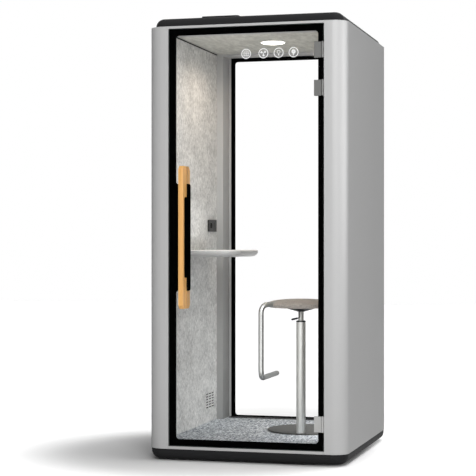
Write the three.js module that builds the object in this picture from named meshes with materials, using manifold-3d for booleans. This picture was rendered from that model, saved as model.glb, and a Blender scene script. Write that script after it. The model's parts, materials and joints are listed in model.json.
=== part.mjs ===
// Acoustic office pod: a one-person booth with a glass door, a wall table and a height-adjustable stool.
// Millimetres, +Z up. The door faces -Y and the pod stands on z = 0.
// Inside this file x = 0, y = 0 is the middle of the walls. The exported group is moved along Y so that
// its origin is the middle of the whole footprint, door handle included.
import * as THREE from "three";
import { mergeVertices } from "three/addons/utils/BufferGeometryUtils.js";
import Module from "manifold-3d";

const wasm = await Module();
wasm.setup();

// Overall sizes
const POD_WIDTH = 1052;
const POD_DEPTH = 1176;
const SHELL_HEIGHT = 2190;
const CORNER_RADIUS = 79;
const FIT = 0.3;
const OVERCUT = 1;

// Base: plinth on four screw feet, plywood deck and carpet
const FOOT_LIFT = 6;
const FOOT_INSET = 110;
const FOOT_PAD_RADIUS = 30;
const FOOT_STEM_RADIUS = 6;
const FOOT_STEM_LENGTH = 34;
const PLINTH_HEIGHT = 56;
const PLINTH_SETBACK = 2;
const PLINTH_EDGE_RADIUS = 45;
const PLINTH_FLOOR = 12;
const PLINTH_RIM = 140;
const PLINTH_RIB = 60;
const DECK_THICKNESS = 31;
const CARPET_THICKNESS = 10;

// Walls: hollow rounded posts, outer skin, filling and felt
const POST_WIDTH = 114;
const POST_DEPTH = 146;
const POST_WALL = 3;
const WALL_THICKNESS = 76;
const SKIN_THICKNESS = 2;
const SKIN_FLANGE = 34;
const FELT_THICKNESS = 12;

// Rails above and below the glass
const HEADER_LIP = 12.7;
const HEADER_DROP = 37;
const REAR_HEADER_DROP = 27.5;
const SILL_HEIGHT = 14.7;

// Roof: ceiling panel under a deck, black cap and vent hood
const CEILING_DROP = 20;
const CEILING_THICKNESS = 12;
const SHADOW_GAP = 8;
const CAP_HEIGHT = 48;
const CAP_SETBACK = 25;
const CAP_EDGE_LIP = 6;
const CAP_WALL = 3;
const HOOD_WIDTH = 202;
const HOOD_DEPTH = 200;
const HOOD_HEIGHT = 20;
const HOOD_CORNER_RADIUS = 16;
const HOOD_WALL = 2;
const HOOD_X = -178;
const HOOD_FROM_FRONT = 150;

// Exhaust fan under the hood
const FAN_SIZE = 120;
const FAN_THICKNESS = 25;
const FAN_RIM = 4;
const FAN_TIP_GAP = 2;
const FAN_RUN_GAP = 1;
const FAN_HUB_RADIUS = 20;
const FAN_STRUT_WIDTH = 8;
const FAN_STRUT_HEIGHT = 4;
const FAN_BLADES = 7;
const FAN_BLADE_CHORD = 26;
const FAN_BLADE_THICKNESS = 2;
const FAN_BLADE_PITCH = THREE.MathUtils.degToRad(32);
const AIR_CHANNEL_DEPTH = 5;

// Ceiling light
const LIGHT_BORE_RADIUS = 64;
const LIGHT_FLANGE = 6;
const LIGHT_LIP = 3;
const LIGHT_SLEEVE = 10;
const LIGHT_RING_WALL = 6;
const DIFFUSER_THICKNESS = 5;
const DIFFUSER_RECESS = 1;

// Glass, door gaps and seal
const GLASS_THICKNESS = 10;
const DOOR_GAP = 3;
const HINGE_SIDE_GAP = 4;
const SEAL_WIDTH = 10;
const SEAL_DEPTH = 9;

// Wooden handles, the same inside and outside
const HANDLE_LENGTH = 736;
const HANDLE_BOTTOM = 728;
const HANDLE_WIDTH = 25;
const HANDLE_PROJECTION = 57;
const HANDLE_GRIP_DEPTH = 26;
const HANDLE_LEG_LENGTH = 160;
const HANDLE_CHAMFER = 18;
const HANDLE_CORNER_RADIUS = 14;
const HANDLE_FROM_OPENING = 72;
const BOLT_RADIUS = 4;
const BOLT_GRIP = 26;
const BOLT_HOLE_RADIUS = 6;

// Glass hinges
const HINGE_HEIGHT = 80;
const HINGE_TOP_DROP = 148;
const HINGE_MIDDLE_DROP = 340;
const HINGE_BOTTOM_RISE = 152;
const HINGE_PLATE_WIDTH = 38;
const HINGE_PLATE_THICKNESS = 4;
const KNUCKLE_RADIUS = 5.5;
const KNUCKLE_GAP = 0.4;
const KNUCKLE_TO_POST = 1;
const KNUCKLE_WINDOW = 2;
const PIN_RADIUS = 2.5;
const PIN_HEAD_RADIUS = 4;
const PIN_HEAD_HEIGHT = 2;
const LEAF_THICKNESS = 2.5;
const LEAF_DEPTH = 40;

// Air slots in the left felt
const SLOT_COLUMNS = 3;
const SLOT_ROWS = 6;
const SLOT_LENGTH = 40;
const SLOT_HEIGHT = 6;
const SLOT_PITCH_Y = 55;
const SLOT_PITCH_Z = 15.3;
const SLOTS_FROM_POST = 140;
const SLOTS_Z = 164;
const DUCT_MARGIN = 8;
const DUCT_DEPTH = 40;

// Power box on the left wall
const POWER_LENGTH = 148;
const POWER_HEIGHT = 68;
const POWER_PROUD = 12;
const POWER_FROM_POST = 117;
const POWER_Z = 1168;
const POWER_FLANGE_ENDS = 10;
const POWER_FLANGE_EDGES = 8;
const POWER_BACK_DEPTH = 38;
const SOCKET_RADIUS = 20;
const SOCKET_DEPTH = 9;
const SOCKET_OFFSET = -36;
const ROCKER_WIDTH = 24;
const ROCKER_HEIGHT = 40;
const ROCKER_THICKNESS = 6;
const ROCKER_PROUD = 1;
const ROCKER_GAP = 1;
const ROCKER_TILT = THREE.MathUtils.degToRad(4);
const ROCKER_OFFSET = 42;
const ROCKER_POCKET = 9;

// Wall table on two concealed rods
const TABLE_TOP = 1030;
const TABLE_THICKNESS = 37;
const TABLE_REACH = 325;
const TABLE_FRONT_Y = -280;
const TABLE_REAR_Y = 240;
const TABLE_CORNER_RADIUS = 100;
const TABLE_NOSE = 9;
const TABLE_UNDERCUT_RUN = 38;
const ROD_RADIUS = 8;
const ROD_SPACING = 300;
const ROD_REACH = 180;
const WALL_PLATE_LENGTH = 380;
const WALL_PLATE_HEIGHT = 80;
const WALL_PLATE_THICKNESS = 5;

// Stool
const STOOL_FROM_WALL = 259.5;
const STOOL_Y = -143;
const STOOL_BASE_RADIUS = 221;
const STOOL_BASE_THICKNESS = 8;
const STOOL_BASE_CHAMFER = 3;
const STOOL_BASE_OFFSET = new THREE.Vector2(-6, 193);
const COLUMN_RADIUS = 25;
const COLUMN_WALL = 3;
const COLUMN_TOP = 645;
const COLLAR_OVERHANG = 0.5;
const COLLAR_HEIGHT = 6.5;
const COLLAR_SLEEVE = 80;
const LIFT_ROD_RADIUS = 14.5;
const LIFT_ROD_LENGTH = 400;
const LIFT_ROD_SHOWN = 49.2;
const SEAT_THICKNESS = 48;
const SEAT_RADIUS = 194;
const SEAT_RIM_HEIGHT = 21;
const SEAT_ROUND = 38;
const CARRIER_RADIUS = 80;
const CARRIER_NECK_RADIUS = 21;
const CARRIER_HEIGHT = 20;
const CARRIER_RIM = 3;
const CARRIER_SOCKET_DEPTH = 12;
const LEVER_RADIUS = 2.5;
const LEVER_GRIP_RADIUS = 5;
const LEVER_GRIP_LENGTH = 30;
const LEVER_BEND_RADIUS = 9;
const LEVER_OFFSET = new THREE.Vector2(-3, -26);
const LEVER_DROP = 50;
const LEVER_REACH = new THREE.Vector3(-38, -4, -9);
const LEVER_POCKET = 13;
const FOOTREST_RADIUS = 14;
const FOOTREST_OFFSET = new THREE.Vector2(-175, -178);
const FOOTREST_BAR_LENGTH = 351;
const FOOTREST_BAR_Z = 353;
const FOOTREST_BEND_RADIUS = 48;
const FOOTREST_GRIP = 38;

// Smoothness of round faces
const ARC_STEPS = 6;
const ROUND_SIDES = 24;
const SMALL_SIDES = 12;
const SEAT_SIDES = 40;
const TUBE_STEPS = 56;
const TUBE_HALF_SIDES = 5;
const LEVER_STEPS = 18;
const WELD = 1e-4;
const LEAST_RADIUS = 2;

// Levels and planes that follow from the sizes above
const SHELL_Z = FOOT_LIFT + PLINTH_HEIGHT;
const SHELL_TOP = SHELL_Z + SHELL_HEIGHT;
const HALF_WIDTH = POD_WIDTH / 2;
const HALF_DEPTH = POD_DEPTH / 2;
const OPENING_HALF = HALF_WIDTH - POST_WIDTH;
const POST_INNER_Y = HALF_DEPTH - POST_DEPTH;
const FELT_FACE_X = HALF_WIDTH - WALL_THICKNESS;
const SKIN_INNER_X = HALF_WIDTH - SKIN_THICKNESS;
const CORE_INNER_X = FELT_FACE_X + FELT_THICKNESS + FIT;
const CORE_OUTER_X = SKIN_INNER_X - FIT;
const WALL_END_Y = POST_INNER_Y - FIT;
const OPENING_Z = SHELL_Z + SILL_HEIGHT;
const OPENING_TOP = SHELL_TOP - HEADER_LIP;
const CEILING_Z = SHELL_TOP - CEILING_DROP;
const ROOF_DECK_Z = CEILING_Z + CEILING_THICKNESS;
const ROOF_DECK_TOP = SHELL_TOP - SKIN_THICKNESS - FIT;
const CARPET_TOP = SHELL_Z + DECK_THICKNESS + CARPET_THICKNESS;
const GLASS_INNER_Y = HALF_DEPTH - GLASS_THICKNESS;
const SEAL_INNER_Y = GLASS_INNER_Y - FIT - SEAL_DEPTH;
const CAP_TOP = SHELL_TOP + CAP_HEIGHT;
const CAP_EDGE_RADIUS = CAP_HEIGHT - CAP_EDGE_LIP;
const FAN_BORE_RADIUS = FAN_SIZE / 2 - FAN_RIM;
const FAN_X = HOOD_X;
const FAN_Y = HOOD_FROM_FRONT + HOOD_DEPTH / 2 - HALF_DEPTH;
const HINGE_AXIS_X = OPENING_HALF - KNUCKLE_RADIUS - KNUCKLE_TO_POST;
const HINGE_AXIS_Y = -HALF_DEPTH - FIT - KNUCKLE_RADIUS;
const HINGE_LEVELS = {
  top: SHELL_HEIGHT - HINGE_TOP_DROP,
  middle: SHELL_HEIGHT - HINGE_MIDDLE_DROP,
  bottom: HINGE_BOTTOM_RISE,
};
const LIGHT_RADIUS = LIGHT_BORE_RADIUS + LIGHT_FLANGE;
const SLOTS_Y = POST_INNER_Y - SLOTS_FROM_POST;
const POWER_Y = POST_INNER_Y - POWER_FROM_POST;
const POWER_BACK_LENGTH = POWER_LENGTH - 2 * POWER_FLANGE_ENDS;
const POWER_BACK_HEIGHT = POWER_HEIGHT - 2 * POWER_FLANGE_EDGES;
const TABLE_UNDERCUT = TABLE_THICKNESS - TABLE_NOSE;
const STOOL_X = FELT_FACE_X - STOOL_FROM_WALL;
const COLLAR_RADIUS = COLUMN_RADIUS + COLLAR_OVERHANG;
const COLLAR_TOP = SHELL_Z + COLUMN_TOP + COLLAR_HEIGHT;
const SEAT_Z = COLLAR_TOP + LIFT_ROD_SHOWN + CARRIER_HEIGHT + FIT;
const SEAT_FLAT_RADIUS = SEAT_RADIUS - SEAT_ROUND;
const HANDLE_X = -OPENING_HALF + HANDLE_FROM_OPENING;
const BOLT_X = HANDLE_X + HANDLE_WIDTH / 2;

// Basic shapes, each a BufferGeometry in the pod's own axes

function box(low, high) {
  const size = high.map((value, axis) => value - low[axis]);
  const middle = high.map((value, axis) => (value + low[axis]) / 2);
  return new THREE.BoxGeometry(...size).translate(...middle);
}

function disc(radius, bottom, top, sides = ROUND_SIDES) {
  const middle = (bottom + top) / 2;
  const upright = new THREE.CylinderGeometry(radius, radius, top - bottom, sides).rotateX(Math.PI / 2);
  return upright.translate(0, 0, middle);
}

// A round bar along X or Y, from one end to the other
function barAlong(axis, radius, from, to) {
  const bar = new THREE.CylinderGeometry(radius, radius, to - from, SMALL_SIDES);
  bar.translate(0, (from + to) / 2, 0);
  return axis === "x" ? bar.rotateZ(-Math.PI / 2) : bar;
}

// A turned piece: radius and height pairs, listed anticlockwise from the axis outwards
function turned(profile, sides = ROUND_SIDES) {
  const points = profile.map(([radius, height]) => new THREE.Vector2(radius, height));
  return new THREE.LatheGeometry(points, sides).rotateX(Math.PI / 2);
}

function prism(shape, bottom, top) {
  const settings = { depth: top - bottom, bevelEnabled: false, curveSegments: ARC_STEPS };
  return new THREE.ExtrudeGeometry(shape, settings).translate(0, 0, bottom);
}

// A section drawn in Y (across) and Z (up), carried along X
function prismAlongX(shape, from, to) {
  const turn = new THREE.Matrix4().makeBasis(
    new THREE.Vector3(0, 1, 0),
    new THREE.Vector3(0, 0, 1),
    new THREE.Vector3(1, 0, 0),
  );
  return prism(shape, from, to).applyMatrix4(turn);
}

// A level outline with four corner radii, anticlockwise from the low x, low y corner
function outline(low, high, radii, height) {
  const corners = [
    [low[0], low[1], 1, 1, Math.PI],
    [high[0], low[1], -1, 1, 1.5 * Math.PI],
    [high[0], high[1], -1, -1, 0],
    [low[0], high[1], 1, -1, 0.5 * Math.PI],
  ];
  const points = [];
  corners.forEach(([x, y, inX, inY, start], corner) => {
    const radius = radii[corner];
    const steps = radius > 0 ? ARC_STEPS : 0;
    for (let step = 0; step <= steps; step += 1) {
      const angle = start + (steps ? (step / steps) * 0.5 * Math.PI : 0);
      const px = x + inX * radius + radius * Math.cos(angle);
      const py = y + inY * radius + radius * Math.sin(angle);
      points.push(new THREE.Vector3(px, py, height));
    }
  });
  return points;
}

// A closed skin over level convex outlines with equal point counts, lowest first
function stack(outlines) {
  const count = outlines[0].length;
  const positions = outlines.flat().flatMap((point) => [point.x, point.y, point.z]);
  const index = [];
  for (let level = 0; level + 1 < outlines.length; level += 1) {
    for (let i = 0; i < count; i += 1) {
      const a = level * count + i;
      const b = level * count + ((i + 1) % count);
      index.push(a, b, b + count, a, b + count, a + count);
    }
  }
  const top = (outlines.length - 1) * count;
  for (let i = 1; i + 1 < count; i += 1) {
    index.push(0, i + 1, i, top, top + i, top + i + 1);
  }
  const geometry = new THREE.BufferGeometry();
  geometry.setAttribute("position", new THREE.Float32BufferAttribute(positions, 3));
  geometry.setIndex(index);
  return geometry;
}

// Straight runs joined by bends of one radius
function bentPath(corners, radius) {
  const path = new THREE.CurvePath();
  let from = corners[0];
  for (let i = 1; i + 1 < corners.length; i += 1) {
    const arriving = corners[i].clone().sub(corners[i - 1]).normalize();
    const leaving = corners[i + 1].clone().sub(corners[i]).normalize();
    const reach = radius * Math.tan(arriving.angleTo(leaving) / 2);
    const start = corners[i].clone().addScaledVector(arriving, -reach);
    const end = corners[i].clone().addScaledVector(leaving, reach);
    path.add(new THREE.LineCurve3(from, start));
    path.add(new THREE.QuadraticBezierCurve3(start, corners[i], end));
    from = end;
  }
  path.add(new THREE.LineCurve3(from, corners.at(-1)));
  return path;
}

function tube(path, radius, steps) {
  const section = new THREE.Shape().absarc(0, 0, radius, 0, 2 * Math.PI);
  const settings = { steps, bevelEnabled: false, curveSegments: TUBE_HALF_SIDES, extrudePath: path };
  return new THREE.ExtrudeGeometry(section, settings);
}

// Joining and cutting

function solid(geometry) {
  const bare = new THREE.BufferGeometry();
  bare.setAttribute("position", geometry.getAttribute("position"));
  bare.setIndex(geometry.getIndex());
  const welded = mergeVertices(bare, WELD);
  const vertProperties = welded.getAttribute("position").array;
  const triVerts = new Uint32Array(welded.getIndex().array);
  return new wasm.Manifold(new wasm.Mesh({ numProp: 3, vertProperties, triVerts }));
}

function surface(made) {
  const mesh = made.getMesh();
  const geometry = new THREE.BufferGeometry();
  geometry.setAttribute("position", new THREE.Float32BufferAttribute(mesh.vertProperties, 3));
  geometry.setIndex(new THREE.Uint32BufferAttribute(mesh.triVerts, 1));
  const faceted = geometry.toNonIndexed();
  faceted.computeVertexNormals();
  return faceted;
}

function join(...geometries) {
  return surface(geometries.map(solid).reduce((sum, piece) => sum.add(piece)));
}

function cut(geometry, ...tools) {
  return surface(tools.map(solid).reduce((left, tool) => left.subtract(tool), solid(geometry)));
}

// Finishes

const FINISH = {
  silverPaint: [0xc3c3c3, 0.38, 0.55],
  blackBase: [0x1d1e20, 0.6, 0],
  rubber: [0x141414, 0.85, 0],
  plywood: [0xb8976a, 0.8, 0],
  carpet: [0x8f979c, 0.95, 0],
  wallFelt: [0xc4c1bb, 0.95, 0],
  ceilingFelt: [0x9a9d98, 0.95, 0],
  wallCore: [0x55585a, 0.95, 0],
  glass: [0xe8f0ee, 0.05, 0],
  oak: [0xe3ad68, 0.5, 0],
  satinSteel: [0xb9bbb6, 0.32, 1],
  blackPlastic: [0x1a1a1b, 0.5, 0],
  blackSteel: [0x222222, 0.45, 0.3],
  bronzePaint: [0x5a5853, 0.5, 0.3],
  laminate: [0xe4e4e1, 0.45, 0],
  darkPlastic: [0x444443, 0.5, 0],
  seatFabric: [0x9d928a, 0.9, 0],
  opal: [0xffffff, 0.4, 0],
  whitePaint: [0xe9e9e6, 0.45, 0],
};

function piece(group, name, geometry, finish) {
  const [color, roughness, metalness] = FINISH[finish];
  const material = new THREE.MeshStandardMaterial({ color, roughness, metalness });
  const mesh = new THREE.Mesh(geometry, material);
  mesh.name = name;
  group.add(mesh);
  return mesh;
}

const pod = new THREE.Group();
pod.position.y = HANDLE_PROJECTION / 2;

const SIDES = { left: -1, right: 1 };
const ENDS = { front: -1, rear: 1 };

// Base

// Outline of the walls drawn in by a distance, with the corners keeping their centres
function wallOutline(inset, height) {
  const x = HALF_WIDTH - inset;
  const y = HALF_DEPTH - inset;
  const radius = Math.max(CORNER_RADIUS - inset, LEAST_RADIUS);
  return outline([-x, -y], [x, y], Array(4).fill(radius), height);
}

// Distances along a quarter round, from its flat end to its upright end
function quarterRound(radius) {
  const levels = [];
  for (let step = 0; step <= ARC_STEPS; step += 1) {
    const angle = (step / ARC_STEPS) * 0.5 * Math.PI;
    levels.push({ inset: radius * (1 - Math.sin(angle)), rise: radius * (1 - Math.cos(angle)) });
  }
  return levels;
}

function plinth() {
  const levels = quarterRound(PLINTH_EDGE_RADIUS).map(({ inset, rise }) =>
    wallOutline(PLINTH_SETBACK + inset, FOOT_LIFT + rise),
  );
  levels.push(wallOutline(PLINTH_SETBACK, SHELL_Z));
  const pockets = [];
  for (const sideX of [-1, 1]) {
    for (const sideY of [-1, 1]) {
      const x = [sideX * (PLINTH_RIB / 2), sideX * (HALF_WIDTH - PLINTH_RIM)].sort((a, b) => a - b);
      const y = [sideY * (PLINTH_RIB / 2), sideY * (HALF_DEPTH - PLINTH_RIM)].sort((a, b) => a - b);
      pockets.push(box([x[0], y[0], FOOT_LIFT + PLINTH_FLOOR], [x[1], y[1], SHELL_Z + OVERCUT]));
    }
  }
  const stemHoles = footPlaces().map(({ x, y }) =>
    disc(FOOT_STEM_RADIUS + FIT, 0, FOOT_LIFT + FOOT_STEM_LENGTH + FIT, SMALL_SIDES).translate(x, y, 0),
  );
  return cut(stack(levels), ...pockets, ...stemHoles);
}

function footPlaces() {
  return Object.entries(ENDS).flatMap(([end, y]) =>
    Object.entries(SIDES).map(([side, x]) => ({
      name: `${end}_${side}`,
      x: x * (HALF_WIDTH - FOOT_INSET),
      y: y * (HALF_DEPTH - FOOT_INSET),
    })),
  );
}

function foot() {
  return turned([
    [0, 0],
    [FOOT_PAD_RADIUS, 0],
    [FOOT_PAD_RADIUS, FOOT_LIFT - FIT],
    [FOOT_STEM_RADIUS, FOOT_LIFT - FIT],
    [FOOT_STEM_RADIUS, FOOT_LIFT + FOOT_STEM_LENGTH],
    [0, FOOT_LIFT + FOOT_STEM_LENGTH],
  ]);
}

// Floor plan inside the walls, narrower between the posts
function floorShape() {
  const wide = FELT_FACE_X - FIT;
  const narrow = OPENING_HALF - FIT;
  const front = -(SEAL_INNER_Y - FIT);
  const rear = GLASS_INNER_Y - FIT;
  const shape = new THREE.Shape();
  shape.moveTo(-narrow, front);
  shape.lineTo(narrow, front);
  shape.lineTo(narrow, -WALL_END_Y);
  shape.lineTo(wide, -WALL_END_Y);
  shape.lineTo(wide, WALL_END_Y);
  shape.lineTo(narrow, WALL_END_Y);
  shape.lineTo(narrow, rear);
  shape.lineTo(-narrow, rear);
  shape.lineTo(-narrow, WALL_END_Y);
  shape.lineTo(-wide, WALL_END_Y);
  shape.lineTo(-wide, -WALL_END_Y);
  shape.lineTo(-narrow, -WALL_END_Y);
  shape.closePath();
  return shape;
}

piece(pod, "base_plinth", plinth(), "blackBase");
for (const { name, x, y } of footPlaces()) {
  piece(pod, `leveling_foot_${name}`, foot(), "rubber").position.set(x, y, 0);
}
const deckTop = SHELL_Z + DECK_THICKNESS;
piece(pod, "floor_deck", prism(floorShape(), SHELL_Z, deckTop), "plywood");
piece(pod, "carpet", prism(floorShape(), deckTop, CARPET_TOP), "carpet");

// Walls

// The rear right post: a rounded outer corner, hollow from below and closed at the top
function cornerPost() {
  const section = (inset) => {
    const radius = CORNER_RADIUS - inset;
    const low = [OPENING_HALF + inset, POST_INNER_Y + inset];
    const high = [HALF_WIDTH - inset, HALF_DEPTH - inset];
    const path = new THREE.Shape();
    path.moveTo(low[0], low[1]);
    path.lineTo(high[0], low[1]);
    path.lineTo(high[0], high[1] - radius);
    path.absarc(high[0] - radius, high[1] - radius, radius, 0, 0.5 * Math.PI);
    path.lineTo(low[0], high[1]);
    path.closePath();
    return path;
  };
  const hollow = prism(section(POST_WALL), SHELL_Z - OVERCUT, SHELL_TOP - POST_WALL);
  return cut(prism(section(0), SHELL_Z, SHELL_TOP), hollow);
}

function slotPlaces() {
  const places = [];
  for (let column = 0; column < SLOT_COLUMNS; column += 1) {
    for (let row = 0; row < SLOT_ROWS; row += 1) {
      const y = SLOTS_Y + (column - (SLOT_COLUMNS - 1) / 2) * SLOT_PITCH_Y;
      const z = SHELL_Z + SLOTS_Z + (row - (SLOT_ROWS - 1) / 2) * SLOT_PITCH_Z;
      places.push([y, z]);
    }
  }
  return places;
}

// What passes through the left wall: air slots, the power box and the table's rods
function feltCuts() {
  const inner = -FELT_FACE_X + OVERCUT;
  const outer = -CORE_INNER_X;
  const slots = slotPlaces().map(([y, z]) =>
    box(
      [outer, y - SLOT_LENGTH / 2, z - SLOT_HEIGHT / 2],
      [inner, y + SLOT_LENGTH / 2, z + SLOT_HEIGHT / 2],
    ),
  );
  const rodHoles = rodPlaces().map(({ y, z }) => rodHole(y, z, outer, inner));
  return [...slots, powerPocket(outer, inner), ...rodHoles];
}

function powerPocket(fromX, toX) {
  const halfLength = POWER_BACK_LENGTH / 2 + FIT;
  const halfHeight = POWER_BACK_HEIGHT / 2 + FIT;
  const z = SHELL_Z + POWER_Z;
  return box([fromX, POWER_Y - halfLength, z - halfHeight], [toX, POWER_Y + halfLength, z + halfHeight]);
}

function rodPlaces() {
  const y = (TABLE_FRONT_Y + TABLE_REAR_Y) / 2;
  const z = SHELL_Z + TABLE_TOP - TABLE_THICKNESS / 2;
  return [-1, 1].map((side) => ({ y: y + (side * ROD_SPACING) / 2, z }));
}

function rodHole(y, z, fromX, toX) {
  return barAlong("x", ROD_RADIUS + FIT, fromX, toX).translate(0, y, z);
}

// Pockets in the left filling: the air duct, the power box's back and the table's wall plate
function coreCuts() {
  const face = -CORE_INNER_X + OVERCUT;
  const ductY = ((SLOT_COLUMNS - 1) * SLOT_PITCH_Y + SLOT_LENGTH) / 2 + DUCT_MARGIN;
  const ductZ = ((SLOT_ROWS - 1) * SLOT_PITCH_Z + SLOT_HEIGHT) / 2 + DUCT_MARGIN;
  const ductMiddle = SHELL_Z + SLOTS_Z;
  const duct = box(
    [face - DUCT_DEPTH, SLOTS_Y - ductY, ductMiddle - ductZ],
    [face, SLOTS_Y + ductY, ductMiddle + ductZ],
  );
  const plate = wallPlate(FIT);
  return [duct, plate, powerPocket(-FELT_FACE_X - POWER_BACK_DEPTH - FIT, face)];
}

// The steel plate behind the felt, grown by a margin where it is used as a cutter
function wallPlate(margin) {
  const { z } = rodPlaces()[0];
  const y = (TABLE_FRONT_Y + TABLE_REAR_Y) / 2;
  const halfLength = WALL_PLATE_LENGTH / 2 + margin;
  const halfHeight = WALL_PLATE_HEIGHT / 2 + margin;
  const front = -CORE_INNER_X + margin;
  const back = -CORE_INNER_X - WALL_PLATE_THICKNESS - margin;
  return box([back, y - halfLength, z - halfHeight], [front, y + halfLength, z + halfHeight]);
}

for (const [end, endY] of Object.entries(ENDS)) {
  for (const [side, sideX] of Object.entries(SIDES)) {
    piece(pod, `corner_post_${end}_${side}`, cornerPost(), "silverPaint").scale.set(sideX, endY, 1);
  }
}
for (const [side, sideX] of Object.entries(SIDES)) {
  const slab = (inner, outer, bottom, top) => {
    const x = [sideX * inner, sideX * outer].sort((a, b) => a - b);
    return box([x[0], -WALL_END_Y, bottom], [x[1], WALL_END_Y, top]);
  };
  const sheet = slab(SKIN_INNER_X, HALF_WIDTH, SHELL_Z, SHELL_TOP);
  const flange = slab(HALF_WIDTH - SKIN_FLANGE, HALF_WIDTH, SHELL_TOP - SKIN_THICKNESS, SHELL_TOP);
  const core = slab(CORE_INNER_X, CORE_OUTER_X, SHELL_Z, ROOF_DECK_Z);
  const felt = slab(FELT_FACE_X, FELT_FACE_X + FELT_THICKNESS, SHELL_Z, ROOF_DECK_Z);
  const isLeft = side === "left";
  piece(pod, `side_panel_${side}`, join(sheet, flange), "silverPaint");
  piece(pod, `wall_core_${side}`, isLeft ? cut(core, ...coreCuts()) : core, "wallCore");
  piece(pod, `felt_panel_${side}`, isLeft ? cut(felt, ...feltCuts()) : felt, "wallFelt");
}

// Rails above and below the glass. A header hangs lower behind the glass than in front of it.
function header(rebate, drop) {
  const bottom = SHELL_TOP - drop;
  const section = new THREE.Shape();
  section.moveTo(-HALF_DEPTH, OPENING_TOP);
  section.lineTo(-HALF_DEPTH + rebate, OPENING_TOP);
  section.lineTo(-HALF_DEPTH + rebate, bottom);
  section.lineTo(-POST_INNER_Y, bottom);
  section.lineTo(-POST_INNER_Y, SHELL_TOP);
  section.lineTo(-HALF_DEPTH, SHELL_TOP);
  section.closePath();
  return prismAlongX(section, -(OPENING_HALF - FIT), OPENING_HALF - FIT);
}

function sill(depth) {
  const x = OPENING_HALF - FIT;
  return box([-x, -HALF_DEPTH, SHELL_Z], [x, -HALF_DEPTH + depth, OPENING_Z]);
}

const doorRebate = HALF_DEPTH - SEAL_INNER_Y + FIT;
const rearRebate = GLASS_THICKNESS + FIT;
piece(pod, "front_header", header(doorRebate, HEADER_DROP), "silverPaint");
piece(pod, "rear_header", header(rearRebate, REAR_HEADER_DROP), "silverPaint").scale.y = -1;
piece(pod, "front_sill", sill(doorRebate - FIT), "silverPaint");
piece(pod, "rear_sill", sill(GLASS_THICKNESS), "silverPaint").scale.y = -1;

// Roof

function roofDeck() {
  const plate = box([-CORE_OUTER_X, -WALL_END_Y, ROOF_DECK_Z], [CORE_OUTER_X, WALL_END_Y, ROOF_DECK_TOP]);
  const fanHole = disc(FAN_BORE_RADIUS, ROOF_DECK_Z - OVERCUT, SHELL_TOP).translate(FAN_X, FAN_Y, 0);
  return cut(plate, fanHole);
}

// The ceiling stops short of the walls, and a channel in its upper face leads air to the fan
function ceiling() {
  const x = FELT_FACE_X - SHADOW_GAP;
  const y = POST_INNER_Y - SHADOW_GAP;
  const panel = box([-x, -y, CEILING_Z], [x, y, ROOF_DECK_Z]);
  const lightHole = disc(LIGHT_BORE_RADIUS, CEILING_Z - OVERCUT, ROOF_DECK_Z + OVERCUT);
  const channel = box(
    [-x - OVERCUT, FAN_Y - FAN_BORE_RADIUS, ROOF_DECK_Z - AIR_CHANNEL_DEPTH],
    [FAN_X + FAN_BORE_RADIUS, FAN_Y + FAN_BORE_RADIUS, ROOF_DECK_Z + OVERCUT],
  );
  return cut(panel, lightHole, channel);
}

function capLevels(inset, bottom, top) {
  const radius = CAP_EDGE_RADIUS - inset;
  const levels = quarterRound(radius).reverse();
  const setback = CAP_SETBACK + inset;
  const rings = levels.map((level) => wallOutline(setback + level.inset, top - level.rise));
  return [wallOutline(setback, bottom), ...rings];
}

function roofCap() {
  const outer = stack(capLevels(0, SHELL_TOP, CAP_TOP));
  const inner = stack(capLevels(CAP_WALL, SHELL_TOP - OVERCUT, CAP_TOP - CAP_WALL));
  const outlet = disc(FAN_BORE_RADIUS, SHELL_TOP, CAP_TOP + OVERCUT).translate(FAN_X, FAN_Y, 0);
  return cut(outer, inner, outlet);
}

function ventHood() {
  const block = (inset, bottom, top) => {
    const x = HOOD_WIDTH / 2 - inset;
    const y = HOOD_DEPTH / 2 - inset;
    const radii = Array(4).fill(HOOD_CORNER_RADIUS - inset);
    return stack([outline([-x, -y], [x, y], radii, bottom), outline([-x, -y], [x, y], radii, top)]);
  };
  return cut(block(0, 0, HOOD_HEIGHT), block(HOOD_WALL, -OVERCUT, HOOD_HEIGHT - HOOD_WALL));
}

piece(pod, "roof_deck", roofDeck(), "plywood");
piece(pod, "ceiling_panel", ceiling(), "ceilingFelt");
piece(pod, "roof_cap", roofCap(), "blackBase");
piece(pod, "vent_hood", ventHood(), "blackBase").position.set(FAN_X, FAN_Y, CAP_TOP);

// Ceiling light

const lightInner = LIGHT_BORE_RADIUS - FIT - LIGHT_RING_WALL;
const bezel = turned([
  [lightInner, -LIGHT_LIP],
  [LIGHT_RADIUS, -LIGHT_LIP],
  [LIGHT_RADIUS, -FIT],
  [LIGHT_BORE_RADIUS - FIT, -FIT],
  [LIGHT_BORE_RADIUS - FIT, LIGHT_SLEEVE],
  [lightInner, LIGHT_SLEEVE],
  [lightInner, -LIGHT_LIP],
]);
piece(pod, "light_bezel", bezel, "whitePaint").position.z = CEILING_Z;
const diffuserZ = DIFFUSER_RECESS - LIGHT_LIP;
const diffuser = disc(lightInner - FIT, diffuserZ, diffuserZ + DIFFUSER_THICKNESS);
piece(pod, "light_diffuser", diffuser, "opal").position.z = CEILING_Z;

// Exhaust fan, standing on the roof deck

function fanFrame() {
  const half = FAN_SIZE / 2;
  const body = box([-half, -half, 0], [half, half, FAN_THICKNESS]);
  const bore = disc(FAN_BORE_RADIUS, -OVERCUT, FAN_THICKNESS + OVERCUT);
  const motorSeat = disc(FAN_HUB_RADIUS, 0, FAN_STRUT_HEIGHT);
  const strut = FAN_STRUT_WIDTH / 2;
  const reach = half - FIT;
  const across = box([-reach, -strut, 0], [reach, strut, FAN_STRUT_HEIGHT]);
  const along = box([-strut, -reach, 0], [strut, reach, FAN_STRUT_HEIGHT]);
  return join(cut(body, bore), motorSeat, across, along);
}

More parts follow.
